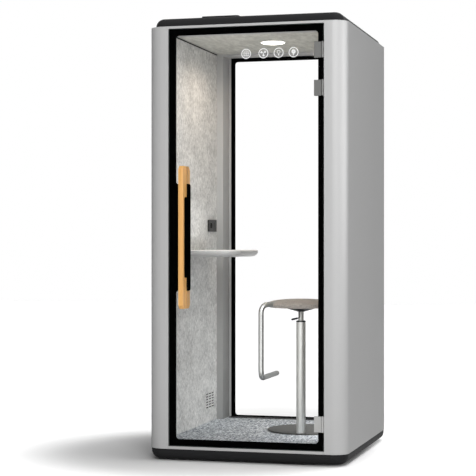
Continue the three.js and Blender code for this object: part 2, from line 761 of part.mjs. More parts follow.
function fanRotor() {
  const bottom = FAN_STRUT_HEIGHT + FAN_RUN_GAP;
  const top = FAN_THICKNESS - FAN_RUN_GAP;
  const hub = disc(FAN_HUB_RADIUS, bottom, top);
  const tip = FAN_BORE_RADIUS - FAN_TIP_GAP;
  const root = FAN_HUB_RADIUS / 2;
  const blades = [];
  for (let i = 0; i < FAN_BLADES; i += 1) {
    const blade = new THREE.BoxGeometry(tip - root, FAN_BLADE_CHORD, FAN_BLADE_THICKNESS);
    blade.rotateX(FAN_BLADE_PITCH).translate((tip + root) / 2, 0, (bottom + top) / 2);
    blades.push(blade.rotateZ((i / FAN_BLADES) * 2 * Math.PI));
  }
  const trimmed = solid(join(hub, ...blades)).intersect(solid(disc(tip, bottom, top)));
  return surface(trimmed);
}

piece(pod, "fan_frame", fanFrame(), "blackPlastic").position.set(FAN_X, FAN_Y, ROOF_DECK_TOP);
piece(pod, "fan_rotor", fanRotor(), "blackPlastic").position.set(FAN_X, FAN_Y, ROOF_DECK_TOP);

// Door glass, rear glass and seal

function doorGlass() {
  const pane = box(
    [-OPENING_HALF + DOOR_GAP, -HALF_DEPTH, OPENING_Z + DOOR_GAP],
    [OPENING_HALF - HINGE_SIDE_GAP, -GLASS_INNER_Y, OPENING_TOP - DOOR_GAP],
  );
  const holes = boltLevels().map((z) =>
    barAlong("y", BOLT_HOLE_RADIUS, -HALF_DEPTH - OVERCUT, -GLASS_INNER_Y + OVERCUT).translate(BOLT_X, 0, z),
  );
  return cut(pane, ...holes);
}

function boltLevels() {
  const bottom = SHELL_Z + HANDLE_BOTTOM;
  return [bottom + HANDLE_LEG_LENGTH / 2, bottom + HANDLE_LENGTH - HANDLE_LEG_LENGTH / 2];
}

// A frame behind the closed door, notched where the hinge leaves pass
function doorSeal() {
  const frontY = -GLASS_INNER_Y + FIT;
  const rearY = -SEAL_INNER_Y;
  const x = OPENING_HALF - FIT;
  const low = OPENING_Z + FIT;
  const high = OPENING_TOP - FIT;
  const frame = box([-x, frontY, low], [x, rearY, high]);
  const inside = box(
    [-x + SEAL_WIDTH, frontY - OVERCUT, low + SEAL_WIDTH],
    [x - SEAL_WIDTH, rearY + OVERCUT, high - SEAL_WIDTH],
  );
  const notches = Object.values(HINGE_LEVELS).map((level) => {
    const z = SHELL_Z + level;
    const half = HINGE_HEIGHT / 2 + FIT;
    return box(
      [x - LEAF_THICKNESS - FIT, frontY - OVERCUT, z - half],
      [x + OVERCUT, rearY + OVERCUT, z + half],
    );
  });
  return cut(frame, inside, ...notches);
}

const rearPane = box(
  [-OPENING_HALF + FIT, GLASS_INNER_Y, OPENING_Z],
  [OPENING_HALF - FIT, HALF_DEPTH, OPENING_TOP - FIT],
);
piece(pod, "door_glass", doorGlass(), "glass");
piece(pod, "rear_glass", rearPane, "glass");
piece(pod, "door_seal", doorSeal(), "rubber");

// Handles: a bar with two long legs and a rounded finger gap between them, drawn away from the glass

function handle() {
  const gapDepth = HANDLE_PROJECTION - HANDLE_GRIP_DEPTH;
  const gapLow = HANDLE_LEG_LENGTH;
  const gapHigh = HANDLE_LENGTH - HANDLE_LEG_LENGTH;
  const corner = HANDLE_CORNER_RADIUS;
  const side = new THREE.Shape();
  side.moveTo(0, 0);
  side.lineTo(HANDLE_PROJECTION - HANDLE_CHAMFER, 0);
  side.lineTo(HANDLE_PROJECTION, HANDLE_CHAMFER);
  side.lineTo(HANDLE_PROJECTION, HANDLE_LENGTH - HANDLE_CHAMFER);
  side.lineTo(HANDLE_PROJECTION - HANDLE_CHAMFER, HANDLE_LENGTH);
  side.lineTo(0, HANDLE_LENGTH);
  side.lineTo(0, gapHigh);
  side.lineTo(gapDepth - corner, gapHigh);
  side.absarc(gapDepth - corner, gapHigh - corner, corner, 0.5 * Math.PI, 0, true);
  side.lineTo(gapDepth, gapLow + corner);
  side.absarc(gapDepth - corner, gapLow + corner, corner, 0, -0.5 * Math.PI, true);
  side.lineTo(0, gapLow);
  side.closePath();
  const bar = prismAlongX(side, 0, HANDLE_WIDTH);
  const holes = [HANDLE_LEG_LENGTH / 2, HANDLE_LENGTH - HANDLE_LEG_LENGTH / 2].map((z) =>
    barAlong("y", BOLT_RADIUS + FIT, -OVERCUT, BOLT_GRIP + FIT).translate(HANDLE_WIDTH / 2, 0, z),
  );
  return cut(bar, ...holes);
}

const handleZ = SHELL_Z + HANDLE_BOTTOM;
const outerHandle = piece(pod, "handle_outer", handle(), "oak");
outerHandle.position.set(HANDLE_X, -HALF_DEPTH, handleZ);
outerHandle.scale.y = -1;
piece(pod, "handle_inner", handle(), "oak").position.set(HANDLE_X, -GLASS_INNER_Y, handleZ);
["lower", "upper"].forEach((name, i) => {
  const bolt = barAlong("y", BOLT_RADIUS, -HALF_DEPTH - BOLT_GRIP, -GLASS_INNER_Y + BOLT_GRIP);
  piece(pod, `handle_bolt_${name}`, bolt, "satinSteel").position.set(BOLT_X, 0, boltLevels()[i]);
});

// Hinges, drawn about the pin: x towards the post, y into the pod, z from the hinge's lower end

const knuckleLow = HINGE_HEIGHT / 3;
const knuckleHigh = (2 * HINGE_HEIGHT) / 3;
const plateRight = -KNUCKLE_RADIUS - 2 * FIT;
const plateFront = KNUCKLE_RADIUS - HINGE_PLATE_THICKNESS;

function pinHole() {
  return disc(PIN_RADIUS + FIT, -OVERCUT, HINGE_HEIGHT + OVERCUT, SMALL_SIDES);
}

function hingeOuterPlate() {
  const plateLeft = plateRight - HINGE_PLATE_WIDTH;
  const plate = box([plateLeft, plateFront, 0], [plateRight, KNUCKLE_RADIUS, HINGE_HEIGHT]);
  const low = knuckleLow + KNUCKLE_GAP;
  const high = knuckleHigh - KNUCKLE_GAP;
  const arm = box([plateRight - OVERCUT, plateFront, low], [0, KNUCKLE_RADIUS, high]);
  return cut(join(plate, arm, disc(KNUCKLE_RADIUS, low, high, SMALL_SIDES)), pinHole());
}

function hingeInnerPlate() {
  const y = KNUCKLE_RADIUS + GLASS_THICKNESS + 2 * FIT;
  return box(
    [plateRight - HINGE_PLATE_WIDTH, y, 0],
    [plateRight, y + HINGE_PLATE_THICKNESS, HINGE_HEIGHT],
  );
}

// The leaf lies on the post's inner face and carries the upper and lower knuckles
function hingeLeaf() {
  const right = OPENING_HALF - HINGE_AXIS_X - FIT;
  const left = right - LEAF_THICKNESS;
  const rear = KNUCKLE_RADIUS + LEAF_DEPTH;
  const plate = box([left, 0, 0], [right, rear, HINGE_HEIGHT]);
  const window = box(
    [-KNUCKLE_RADIUS - OVERCUT, -KNUCKLE_RADIUS - OVERCUT, knuckleLow],
    [right + OVERCUT, KNUCKLE_RADIUS + KNUCKLE_WINDOW, knuckleHigh],
  );
  const knuckle = disc(KNUCKLE_RADIUS, 0, HINGE_HEIGHT, SMALL_SIDES);
  return cut(join(plate, knuckle), window, pinHole());
}

function hingePin() {
  return turned(
    [
      [0, 0],
      [PIN_RADIUS, 0],
      [PIN_RADIUS, HINGE_HEIGHT + FIT],
      [PIN_HEAD_RADIUS, HINGE_HEIGHT + FIT],
      [PIN_HEAD_RADIUS, HINGE_HEIGHT + PIN_HEAD_HEIGHT],
      [0, HINGE_HEIGHT + PIN_HEAD_HEIGHT],
    ],
    SMALL_SIDES,
  );
}

for (const [name, level] of Object.entries(HINGE_LEVELS)) {
  const hinge = new THREE.Group();
  hinge.position.set(HINGE_AXIS_X, HINGE_AXIS_Y, SHELL_Z + level - HINGE_HEIGHT / 2);
  pod.add(hinge);
  piece(hinge, `hinge_outer_plate_${name}`, hingeOuterPlate(), "satinSteel");
  piece(hinge, `hinge_inner_plate_${name}`, hingeInnerPlate(), "satinSteel");
  piece(hinge, `hinge_leaf_${name}`, hingeLeaf(), "satinSteel");
  piece(hinge, `hinge_pin_${name}`, hingePin(), "satinSteel");
}

// Power box with a round socket and a rocker switch. The switch rests with its lower half pressed in.

const powerZ = SHELL_Z + POWER_Z;
const powerFaceX = -FELT_FACE_X + POWER_PROUD;
const rockerY = POWER_Y + ROCKER_OFFSET;

function powerBox() {
  const plate = box(
    [-FELT_FACE_X + FIT, POWER_Y - POWER_LENGTH / 2, powerZ - POWER_HEIGHT / 2],
    [powerFaceX, POWER_Y + POWER_LENGTH / 2, powerZ + POWER_HEIGHT / 2],
  );
  const back = box(
    [-FELT_FACE_X - POWER_BACK_DEPTH, POWER_Y - POWER_BACK_LENGTH / 2, powerZ - POWER_BACK_HEIGHT / 2],
    [-FELT_FACE_X + OVERCUT, POWER_Y + POWER_BACK_LENGTH / 2, powerZ + POWER_BACK_HEIGHT / 2],
  );
  const socket = barAlong("x", SOCKET_RADIUS, powerFaceX - SOCKET_DEPTH, powerFaceX + OVERCUT);
  socket.translate(0, POWER_Y + SOCKET_OFFSET, powerZ);
  const halfWidth = ROCKER_WIDTH / 2 + ROCKER_GAP;
  const halfHeight = ROCKER_HEIGHT / 2 + ROCKER_GAP;
  const pocket = box(
    [powerFaceX - ROCKER_POCKET, rockerY - halfWidth, powerZ - halfHeight],
    [powerFaceX + OVERCUT, rockerY + halfWidth, powerZ + halfHeight],
  );
  return cut(join(plate, back), socket, pocket);
}

piece(pod, "power_box", powerBox(), "darkPlastic");
const rocker = piece(
  pod,
  "light_switch",
  new THREE.BoxGeometry(ROCKER_THICKNESS, ROCKER_WIDTH, ROCKER_HEIGHT),
  "darkPlastic",
);
rocker.position.set(powerFaceX + ROCKER_PROUD - ROCKER_THICKNESS / 2, rockerY, powerZ);
rocker.rotation.y = ROCKER_TILT;

// Table: flat against the felt, rounded corners into the room and a rounded underside on its free edges

function tableTop() {
  const wallX = -FELT_FACE_X + FIT;
  const top = SHELL_Z + TABLE_TOP;
  const level = (inset, height) => {
    const corner = TABLE_CORNER_RADIUS - inset;
    const low = [wallX, TABLE_FRONT_Y + inset];
    const high = [-FELT_FACE_X + TABLE_REACH - inset, TABLE_REAR_Y - inset];
    return outline(low, high, [0, corner, corner, 0], height);
  };
  const bottom = top - TABLE_THICKNESS;
  const underside = quarterRound(1).map(({ inset, rise }) =>
    level(inset * TABLE_UNDERCUT_RUN, bottom + rise * TABLE_UNDERCUT),
  );
  const nose = quarterRound(TABLE_NOSE).map(({ inset, rise }) => level(inset, top - rise));
  const slab = stack([...underside, ...nose.reverse().slice(1)]);
  const holes = rodPlaces().map(({ y, z }) => rodHole(y, z, wallX - OVERCUT, wallX + ROD_REACH));
  return cut(slab, ...holes);
}

function tableSupport() {
  const start = -CORE_INNER_X - WALL_PLATE_THICKNESS;
  const end = -FELT_FACE_X + ROD_REACH;
  const rods = rodPlaces().map(({ y, z }) => barAlong("x", ROD_RADIUS, start, end).translate(0, y, z));
  return join(wallPlate(0), ...rods);
}

piece(pod, "table_top", tableTop(), "laminate");
piece(pod, "table_support", tableSupport(), "blackSteel");

// Stool, drawn about its column's axis with heights from the pod's floor level

const stool = new THREE.Group();
stool.position.set(STOOL_X, STOOL_Y, 0);
pod.add(stool);

const basePlateTop = CARPET_TOP + STOOL_BASE_THICKNESS;
const columnTop = SHELL_Z + COLUMN_TOP;
const carrierTop = SEAT_Z - FIT;
const carrierBottom = carrierTop - CARRIER_HEIGHT;
const socketTop = carrierBottom + CARRIER_SOCKET_DEPTH;

const basePlate = turned([
  [0, CARPET_TOP],
  [STOOL_BASE_RADIUS, CARPET_TOP],
  [STOOL_BASE_RADIUS, basePlateTop - STOOL_BASE_CHAMFER],
  [STOOL_BASE_RADIUS - STOOL_BASE_CHAMFER, basePlateTop],
  [0, basePlateTop],
]);
const { x: baseX, y: baseY } = STOOL_BASE_OFFSET;
piece(stool, "stool_base_plate", basePlate, "bronzePaint").position.set(baseX, baseY, 0);

const column = turned([
  [COLUMN_RADIUS - COLUMN_WALL, basePlateTop],
  [COLUMN_RADIUS, basePlateTop],
  [COLUMN_RADIUS, columnTop],
  [COLUMN_RADIUS - COLUMN_WALL, columnTop],
  [COLUMN_RADIUS - COLUMN_WALL, basePlateTop],
]);
piece(stool, "stool_column", column, "satinSteel");

const guideRadius = LIFT_ROD_RADIUS + FIT;
const sleeveRadius = COLUMN_RADIUS - COLUMN_WALL - FIT;
const collar = turned([
  [guideRadius, columnTop - COLLAR_SLEEVE],
  [sleeveRadius, columnTop - COLLAR_SLEEVE],
  [sleeveRadius, columnTop + FIT],
  [COLLAR_RADIUS, columnTop + FIT],
  [COLLAR_RADIUS, COLLAR_TOP],
  [guideRadius, COLLAR_TOP],
  [guideRadius, columnTop - COLLAR_SLEEVE],
]);
piece(stool, "stool_collar", collar, "blackPlastic");
piece(stool, "lift_rod", disc(LIFT_ROD_RADIUS, socketTop - LIFT_ROD_LENGTH, socketTop - FIT), "satinSteel");

// The lever hangs from a pocket in the carrier, drops beside the rod and turns out to a grip
function leverCorners() {
  const head = new THREE.Vector3(LEVER_OFFSET.x, LEVER_OFFSET.y, carrierTop - CARRIER_RIM);
  const elbow = head.clone().add(new THREE.Vector3(0, 0, -LEVER_DROP));
  return [head, elbow, elbow.clone().add(LEVER_REACH)];
}

function seatCarrier() {
  const cone = turned([
    [0, carrierBottom],
    [CARRIER_NECK_RADIUS, carrierBottom],
    [CARRIER_RADIUS, carrierTop - CARRIER_RIM],
    [CARRIER_RADIUS, carrierTop],
    [0, carrierTop],
  ]);
  const rodSocket = disc(guideRadius, carrierBottom - OVERCUT, socketTop);
  const half = LEVER_POCKET / 2;
  const [head] = leverCorners();
  const pocketTop = head.z + FIT;
  const leverPocket = box(
    [head.x - half, head.y - half, carrierBottom - OVERCUT],
    [head.x + half, head.y + half, pocketTop],
  );
  return cut(cone, rodSocket, leverPocket);
}

function liftLever() {
  const corners = leverCorners();
  const wire = tube(bentPath(corners, LEVER_BEND_RADIUS), LEVER_RADIUS, LEVER_STEPS);
  const [, elbow, end] = corners;
  const back = elbow.clone().sub(end).normalize();
  const gripStart = end.clone().addScaledVector(back, LEVER_GRIP_LENGTH);
  const gripEnd = end.clone().addScaledVector(back, -LEVER_GRIP_RADIUS);
  const grip = tube(new THREE.LineCurve3(gripStart, gripEnd), LEVER_GRIP_RADIUS, 1);
  return join(wire, grip);
}

function footrestPath(gripLength) {
  const direction = FOOTREST_OFFSET.clone().normalize();
  const start = direction.multiplyScalar(SEAT_RADIUS - gripLength);
  const armZ = SEAT_Z + SEAT_RIM_HEIGHT;
  const barZ = SHELL_Z + FOOTREST_BAR_Z;
  const { x, y } = FOOTREST_OFFSET;
  const corners = [
    new THREE.Vector3(start.x, start.y, armZ),
    new THREE.Vector3(x, y, armZ),
    new THREE.Vector3(x, y, barZ),
    new THREE.Vector3(x, y + FOOTREST_BAR_LENGTH, barZ),
  ];
  return bentPath(corners, FOOTREST_BEND_RADIUS);
}

// A crowned round cushion: flat underneath, full at the rim and gently domed on top
function seatPad() {
  const rim = new THREE.Vector2(SEAT_RADIUS, SEAT_RIM_HEIGHT);
  const lower = new THREE.QuadraticBezierCurve(
    new THREE.Vector2(SEAT_FLAT_RADIUS, 0),
    new THREE.Vector2(SEAT_RADIUS, 0),
    rim,
  );
  const upper = new THREE.CubicBezierCurve(
    rim,
    new THREE.Vector2(SEAT_RADIUS, SEAT_THICKNESS),
    new THREE.Vector2(SEAT_FLAT_RADIUS, SEAT_THICKNESS),
    new THREE.Vector2(0, SEAT_THICKNESS),
  );
  const crown = upper.getPoints(ARC_STEPS + 2).slice(1);
  const profile = [new THREE.Vector2(0, 0), ...lower.getPoints(ARC_STEPS / 2), ...crown];
  const cushion = turned(profile.map((point) => [point.x, point.y + SEAT_Z]), SEAT_SIDES);
  const pocket = tube(footrestPath(FOOTREST_GRIP + OVERCUT), FOOTREST_RADIUS + FIT, TUBE_STEPS);
  return cut(cushion, pocket);
}

piece(stool, "seat_carrier", seatCarrier(), "blackPlastic");
piece(stool, "lift_lever", liftLever(), "blackSteel");
piece(stool, "seat_pad", seatPad(), "seatFabric");
piece(stool, "footrest", tube(footrestPath(FOOTREST_GRIP), FOOTREST_RADIUS, TUBE_STEPS), "satinSteel");

const part = new THREE.Group();
part.add(pod);

export default part;
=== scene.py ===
"""Looks of a one-person acoustic office pod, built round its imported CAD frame.

The file is laid out as an add-on and run as a script. Its operators dress the CAD nodes, replace those that
need a finer shape, add the prints, screws and socket details, and set up the stage.
"""

import json
import math

import bmesh
import bpy
from bpy.props import FloatProperty, FloatVectorProperty, IntProperty, PointerProperty
from mathutils import Matrix, Vector

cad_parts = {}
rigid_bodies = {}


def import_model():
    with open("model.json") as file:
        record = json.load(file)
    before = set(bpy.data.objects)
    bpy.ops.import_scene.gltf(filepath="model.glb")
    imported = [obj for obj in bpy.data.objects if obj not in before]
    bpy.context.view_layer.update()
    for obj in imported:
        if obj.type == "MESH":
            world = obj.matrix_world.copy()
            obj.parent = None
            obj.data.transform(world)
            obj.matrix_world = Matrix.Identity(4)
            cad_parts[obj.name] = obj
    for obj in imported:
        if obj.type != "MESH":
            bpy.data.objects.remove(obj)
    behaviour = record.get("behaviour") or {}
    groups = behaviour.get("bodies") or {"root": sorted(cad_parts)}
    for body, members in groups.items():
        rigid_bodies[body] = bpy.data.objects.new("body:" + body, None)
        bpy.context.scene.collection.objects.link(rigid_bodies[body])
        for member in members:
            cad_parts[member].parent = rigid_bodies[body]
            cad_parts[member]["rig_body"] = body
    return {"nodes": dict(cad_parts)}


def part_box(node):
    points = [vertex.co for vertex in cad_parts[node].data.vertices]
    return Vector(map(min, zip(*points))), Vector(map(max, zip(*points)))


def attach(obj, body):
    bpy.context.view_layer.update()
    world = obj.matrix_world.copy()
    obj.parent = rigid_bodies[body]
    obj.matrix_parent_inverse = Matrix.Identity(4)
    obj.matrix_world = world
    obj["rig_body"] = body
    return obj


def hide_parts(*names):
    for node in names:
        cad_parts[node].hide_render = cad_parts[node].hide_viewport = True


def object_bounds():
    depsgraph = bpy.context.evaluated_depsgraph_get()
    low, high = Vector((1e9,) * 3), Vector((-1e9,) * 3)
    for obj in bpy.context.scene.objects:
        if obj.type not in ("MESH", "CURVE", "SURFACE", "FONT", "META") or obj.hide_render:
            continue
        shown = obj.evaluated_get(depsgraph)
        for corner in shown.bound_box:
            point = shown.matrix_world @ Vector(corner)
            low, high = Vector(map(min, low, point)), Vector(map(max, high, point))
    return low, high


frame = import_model()
CAD_LOW, CAD_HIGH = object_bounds()

bl_info = {
    "name": "Acoustic office pod",
    "version": (1, 0, 0),
    "blender": (4, 5, 0),
    "location": "3D View > Sidebar > Pod",
    "description": "Looks of a one-person acoustic office pod on its packed CAD frame",
    "category": "Object",
}

HINGES = ("top", "middle", "bottom")
CORNERS = ("front_left", "front_right", "rear_left", "rear_right")
SIDES = ("left", "right")

# How finely round shapes are drawn, and the angle from which an edge is sharp
TURNED_SIDES = 96
PLATE_SIDES = 128
ROD_SIDES = 64
SEAT_SIDES = 72
SCREW_SIDES = 24
CONTACT_SIDES = 20
RING_STEPS = 40
BULB_STEPS = 28
CORE_STEPS = 16
HUB_STEPS = 20
BLADE_STEPS = 24
BEND_STEPS = 14
DOME_STEPS = 8
TUBE_ROUND = 8
SHARP_ANGLE = math.radians(38)
FLAT_ANGLE = math.radians(0.6)

# Radii of softened edges; 0 only smooths the facets
EDGE = {
    "post": 0.0012,
    "foot": 0.001,
    "skin": 0.0006,
    "rail": 0.001,
    "base": 0.002,
    "hood": 0.0012,
    "felt": 0.0,
    "ceiling": 0.0015,
    "pane": 0.0008,
    "seal": 0.0008,
    "bead": 0.0012,
    "strip": 0.0008,
    "handle": 0.0025,
    "hinge_plate": 0.0007,
    "hinge_leaf": 0.0005,
    "hinge_pin": 0.0004,
    "fan_frame": 0.0006,
    "fan_rotor": 0.0,
    "table": 0.0025,
    "power_box": 0.0012,
    "switch": 0.0008,
    "clip": 0.0003,
    "plate": 0.0025,
    "column": 0.0006,
    "collar": 0.0008,
    "rod": 0.0008,
    "carrier": 0.001,
}

# The Mix node's sockets for colours
MIX_FACTOR = 0
MIX_A = 6
MIX_B = 7
MIX_RESULT = 2

# Pattern sizes in metres
COAT_PEEL = 0.0022
SPARK_TEXTURE = 0.0016
FELT_TUFT = (0.008, 0.014, 0.019)
CEILING_TUFT = (0.026, 0.085, 0.026)
FELT_CLOUD = (0.09, 0.16, 0.09)
FELT_FIBRE = 0.0035
# How far behind the felt's face the painted shade of the air slots begins and is full
SLOT_SHADE_DEPTH = (0.0004, 0.0016)
CARPET_LOOP = 0.0065
CARPET_PATCH = (0.011, 0.038, 0.011)
GRAIN_LINE = (0.0022, 0.0022, 0.16)
GRAIN_BAND = (0.009, 0.009, 0.70)
PLY_LINE = (0.004, 0.09, 0.004)
PLY_BAND = (0.02, 0.4, 0.02)
BRUSH_LINE = (0.0014, 0.0014, 0.09)
WEAVE_THREAD = 0.0034
YARN_CLUMP = WEAVE_THREAD * 1.6
WOOL_CLUMP = 0.012
OPAL_CLOUD = 0.02
FLOOR_CLOUD = 1.5

# Colours of what hardly shows: near black painted as shade in the air slots, and the plywood decks
SLOT_SHADE_BLACK = "1E1E1D"
PLY_DARK = "BF9B6B"
PLY_LIGHT = "DCC39A"

# The printed border and its pictograms, measured on the door glass
PRINT_THICKNESS = 0.00015
PRINT_CLEARANCE = 0.00005
PRINT_INSET = 0.0008
ICON_PLACES = (0.0035, 0.0945, 0.1745, 0.2525)
ICON_LEVEL = 2.097
GLOBE_BANDS = (-80, -38, 0, 38, 80)
GLOBE_ROWS = (-74, -30, 0, 30, 74)
GLOBE_LINE = 4.5

# The dark bead, a painted shadow, in the corners between the ceiling and the walls, and how deep its face is
# hollowed
SHADOW_BEAD = 0.005
JOINT_HOLLOW = 0.8
JOINT_STEPS = 5

# The square beads that hold the rear pane's sides, the strip at its foot, and the gaps round them
GLAZING_BEAD = (0.012, 0.008)
FOOT_STRIP = (0.062, 0.0022)
BEAD_TOP_GAP = 0.0003
BEAD_GLASS_GAP = 0.0004

# The carpet's gap to the posts, its loops in steps of its grid, and the level of its noise that stays put
CARPET_GAP = 0.0003
LOOP_STEPS = 2.2
PILE_MIDDLE = 0.56

# The ceiling light: the gap round its opal cover, its ring with the radii of its edges, and how far the cover
# bulges and laps below
LIGHT_GAP = 0.0003
LIGHT_EDGES = (0.0006, 0.0016, 0.0003, 0.0003, 0.0005, 0.0005)
LIGHT_SLEEVE = 0.006
LIGHT_FLANGE = 0.0027
LIGHT_DOME = 0.009
LIGHT_LAP = 0.0065
LIGHT_STEPS = 10

# The hinge screws: height of the head, its rim, chamfer and drive, and their places on plate and leaf
SCREW_HEIGHT = 0.0009
SCREW_RIM = 0.0004
SCREW_CHAMFER = 0.86
SCREW_DRIVE = 0.5
SCREW_RECESS = -0.001
PLATE_SCREW_RISE = 0.022
LEAF_SCREW_RISE = 0.024
LEAF_SCREW_SINK = 0.0025
LEAF_SCREW_DEPTH = 0.014

# The socket in the power box, as the CAD recess has it, with its contacts and earth clips
SOCKET_RECESS = 0.009
SOCKET_ASIDE = 0.036
CONTACT_RISE = 0.0004
CONTACT_ASIDE = 0.0095
CONTACT_RADII = (0.0027, 0.0024)
CONTACT_DEPTH = 0.0008
CLIP_HALF = Vector((0.00425, 0.002, 0.0006))
CLIP_RISE = 0.0045
CLIP_UP = 0.0188

# The stool's column and its tubes, which repeat the CAD routes
COLUMN_WALL = 0.003
FOOTREST_RADIUS = 0.014
FOOTREST_BEND = 0.048
FOOTREST_GRIP = 0.038
FOOTREST_DOME = 0.007
LEVER_RADIUS = 0.0025
LEVER_GRIP_RADIUS = 0.005
LEVER_GRIP_LENGTH = 0.030
LEVER_GRIP_DOME = 0.003
LEVER_BEND = 0.009
LEVER_DROP = 0.050
LEVER_HEAD = (-0.003, -0.026)
LEVER_HEAD_GAP = 0.001
LEVER_REACH = Vector((-0.038, -0.004, -0.009))

# The seat's section: how far in its underside lifts, its rim, and how far in its crown begins
SEAT_LIFT_RUN = 0.055
SEAT_LIFT_STEPS = 8
SEAT_RIM = 0.015
SEAT_SHOULDER = 0.015
SEAT_CROWN_RUN = 0.075
SEAT_CROWN_STEPS = 18

# The seat's simulation: how much of its underside is held, and how much longer and wider the tube's hole is
SEAT_HELD = 0.003
SWELL_FRAMES = 20
TUBE_ROOM = (0.002, 0.0006)

# The floor: half its width, its shades as light that bounces and as it is seen, the middle of the painted
# light that lifts it to white away from the pod, left of it and in front of its middle, and of a painted
# shadow behind it
FLOOR_HALF = 20.0
FLOOR_BOUNCED = (0.53, 0.57)
FLOOR_SEEN = 0.80
FLOOR_SHADE = (-0.3, -0.2, 0)
REAR_PAINTED_SHADOW = (-0.30, 1.5, 0)

# Where the soft light from all round goes from its left level to its full one, along X
SKY_TURN = (-0.9, 0.2)

# The flat lights: the setting with its power, width and height, place, the point that it faces, and the
# kind of ray besides the camera's that doesn't see it
CARD_TARGET = (0.45, -0.45, 2.2)
PANELS = {
    "soft_front_light": ("key", (3.0, 2.4), (1.55, -5.60, 3.50), (CAD_LOW + CAD_HIGH) / 2, "camera"),
    "front_card": ("front_card", (2.8, 2.8), (2.45, -2.80, 2.45), CARD_TARGET, "diffuse"),
    "side_card": ("side_card", (2.8, 2.8), (3.50, -0.30, 2.45), CARD_TARGET, "diffuse"),
    "low_light": ("low", (2.4, 0.6), (0.40, -3.60, 0.45), (0, -0.6, 0.3), "glossy"),
    "door_fill": ("fill", (0.56, 1.0), (-0.10, -0.50, 1.60), (-0.10, 0.50, 1.60), "glossy"),
    "wall_fill": ("wall_fill", (0.8, 0.38), (0.42, 0.10, 0.29), (-0.58, 0.10, 0.29), "glossy"),
    "table_fill": ("table_fill", (0.26, 0.40), (-0.24, 0.03, 1.125), (-0.24, 0.03, 2.125), "glossy"),
}
WALL_FILL_SHADED = ("handle_outer", "handle_inner", "corner_post_rear_left")

# The rear light, and the warm light of the ceiling lamp
REAR_LIGHT_WAY = (-0.21, -0.11, -0.97)
REAR_LIGHT_SPREAD = math.radians(28)
LAMP_COLOUR = (1.0, 0.835, 0.675)
LAMP_DROP = 0.012
LAMP_RADIUS = 0.045
LAMP_SPREAD = math.radians(170)
LAMP_BLEND = 0.45


# Small helpers


def linear(hex_colour):
    """An sRGB hex colour as linear red, green and blue."""
    channels = [int(hex_colour[start : start + 2], 16) / 255 for start in (0, 2, 4)]
    return tuple(c / 12.92 if c <= 0.04045 else ((c + 0.055) / 1.055) ** 2.4 for c in channels)


def tone(colour, share=1.0):
    """A linear colour made lighter or darker, with its alpha."""
    return (*(min(1.0, channel * share) for channel in colour), 1.0)


def per_metre(size):
    """The pattern scale that gives features of that size in metres, for one size or for three."""
    if isinstance(size, tuple):
        return tuple(1 / length for length in size)
    return 1 / size


def add(tree, kind, feeds=None, **settings):
    """Adds one node with its settings; feeds gives each input a value, another node or one of its outputs."""
    node = tree.nodes.new(kind)
    for name, value in settings.items():
        setattr(node, name, value)
    for name, value in (feeds or {}).items():
        if isinstance(value, bpy.types.Node):
            value = value.outputs[MIX_RESULT if value.bl_idname == "ShaderNodeMix" else 0]
        if isinstance(value, bpy.types.NodeSocket):
            tree.links.new(value, node.inputs[name])
        else:
            node.inputs[name].default_value = value
    return node


def body_of(node):
    """The body that a CAD node rides on."""
    return frame["nodes"][node]["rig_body"]


def middle_of(node):
    """The middle of a CAD node's box."""
    low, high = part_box(node)
    return (low + high) / 2


def radius_of(node):
    """The radius of a round, upright CAD node."""
    low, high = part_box(node)
    return (high.x - low.x) / 2


def inner_face(pane):
    """Where a print on a pane's inner face has its middle, along Y."""
    low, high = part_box(pane)
    off = PRINT_CLEARANCE + PRINT_THICKNESS / 2
    return high.y + off if high.y < 0 else low.y - off


def link(name, data):
    """A new object in the scene, at the origin."""
    made = bpy.data.objects.new(name, data)
    bpy.context.scene.collection.objects.link(made)
    return made


def plain_mesh(holder, name):
    """The mesh that an object's modifiers or curve make, as a plain mesh; the object itself goes."""
    graph = bpy.context.evaluated_depsgraph_get()
    mesh = bpy.data.meshes.new_from_object(holder.evaluated_get(graph))
    bpy.data.objects.remove(holder)
    mesh.name = name
    return mesh


def closed_mesh(made, name):
    """A finished mesh from mesh code: doubles merged, faces outwards, smooth apart from its sharp edges."""
    bmesh.ops.remove_doubles(made, verts=made.verts, dist=1e-6)
    bmesh.ops.recalc_face_normals(made, faces=made.faces)
    mesh = bpy.data.meshes.new(name)
    made.to_mesh(mesh)
    made.free()
    mesh.shade_smooth()
    mesh.set_sharp_from_angle(angle=SHARP_ANGLE)
    return mesh


def place(name, mesh, node, slot, material=None, stands_in=False):
    """A finished piece: it rides with a CAD node, or stands in for it, and takes the material named; the slot
    is not used.
    """
    if material:
        mesh.materials.clear()
        mesh.materials.append(bpy.data.materials[material])
    piece = link(name, mesh)
    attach(piece, body_of(node))
    if stands_in:
        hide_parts(node)
    return piece


def geometry_tree(name, **inputs):
    """A Geometry Nodes tree with a geometry in and out and more named inputs, and its input node."""
    tree = bpy.data.node_groups.new(name, "GeometryNodeTree")
    tree.interface.new_socket(name="Geometry", in_out="OUTPUT", socket_type="NodeSocketGeometry")
    for label, kind in {"Geometry": "Geometry", **inputs}.items():
        tree.interface.new_socket(name=label, in_out="INPUT", socket_type=f"NodeSocket{kind}")
    return tree, add(tree, "NodeGroupInput")


def run_tree(holder, tree, **values):
    """Puts a Geometry Nodes tree on an object, with its named inputs set by their identifiers."""
    modifier = holder.modifiers.new(tree.name, "NODES")
    modifier.node_group = tree
    for item in tree.interface.items_tree:
        if item.item_type == "SOCKET" and item.in_out == "INPUT" and item.name in values:
            modifier[item.identifier] = values[item.name]


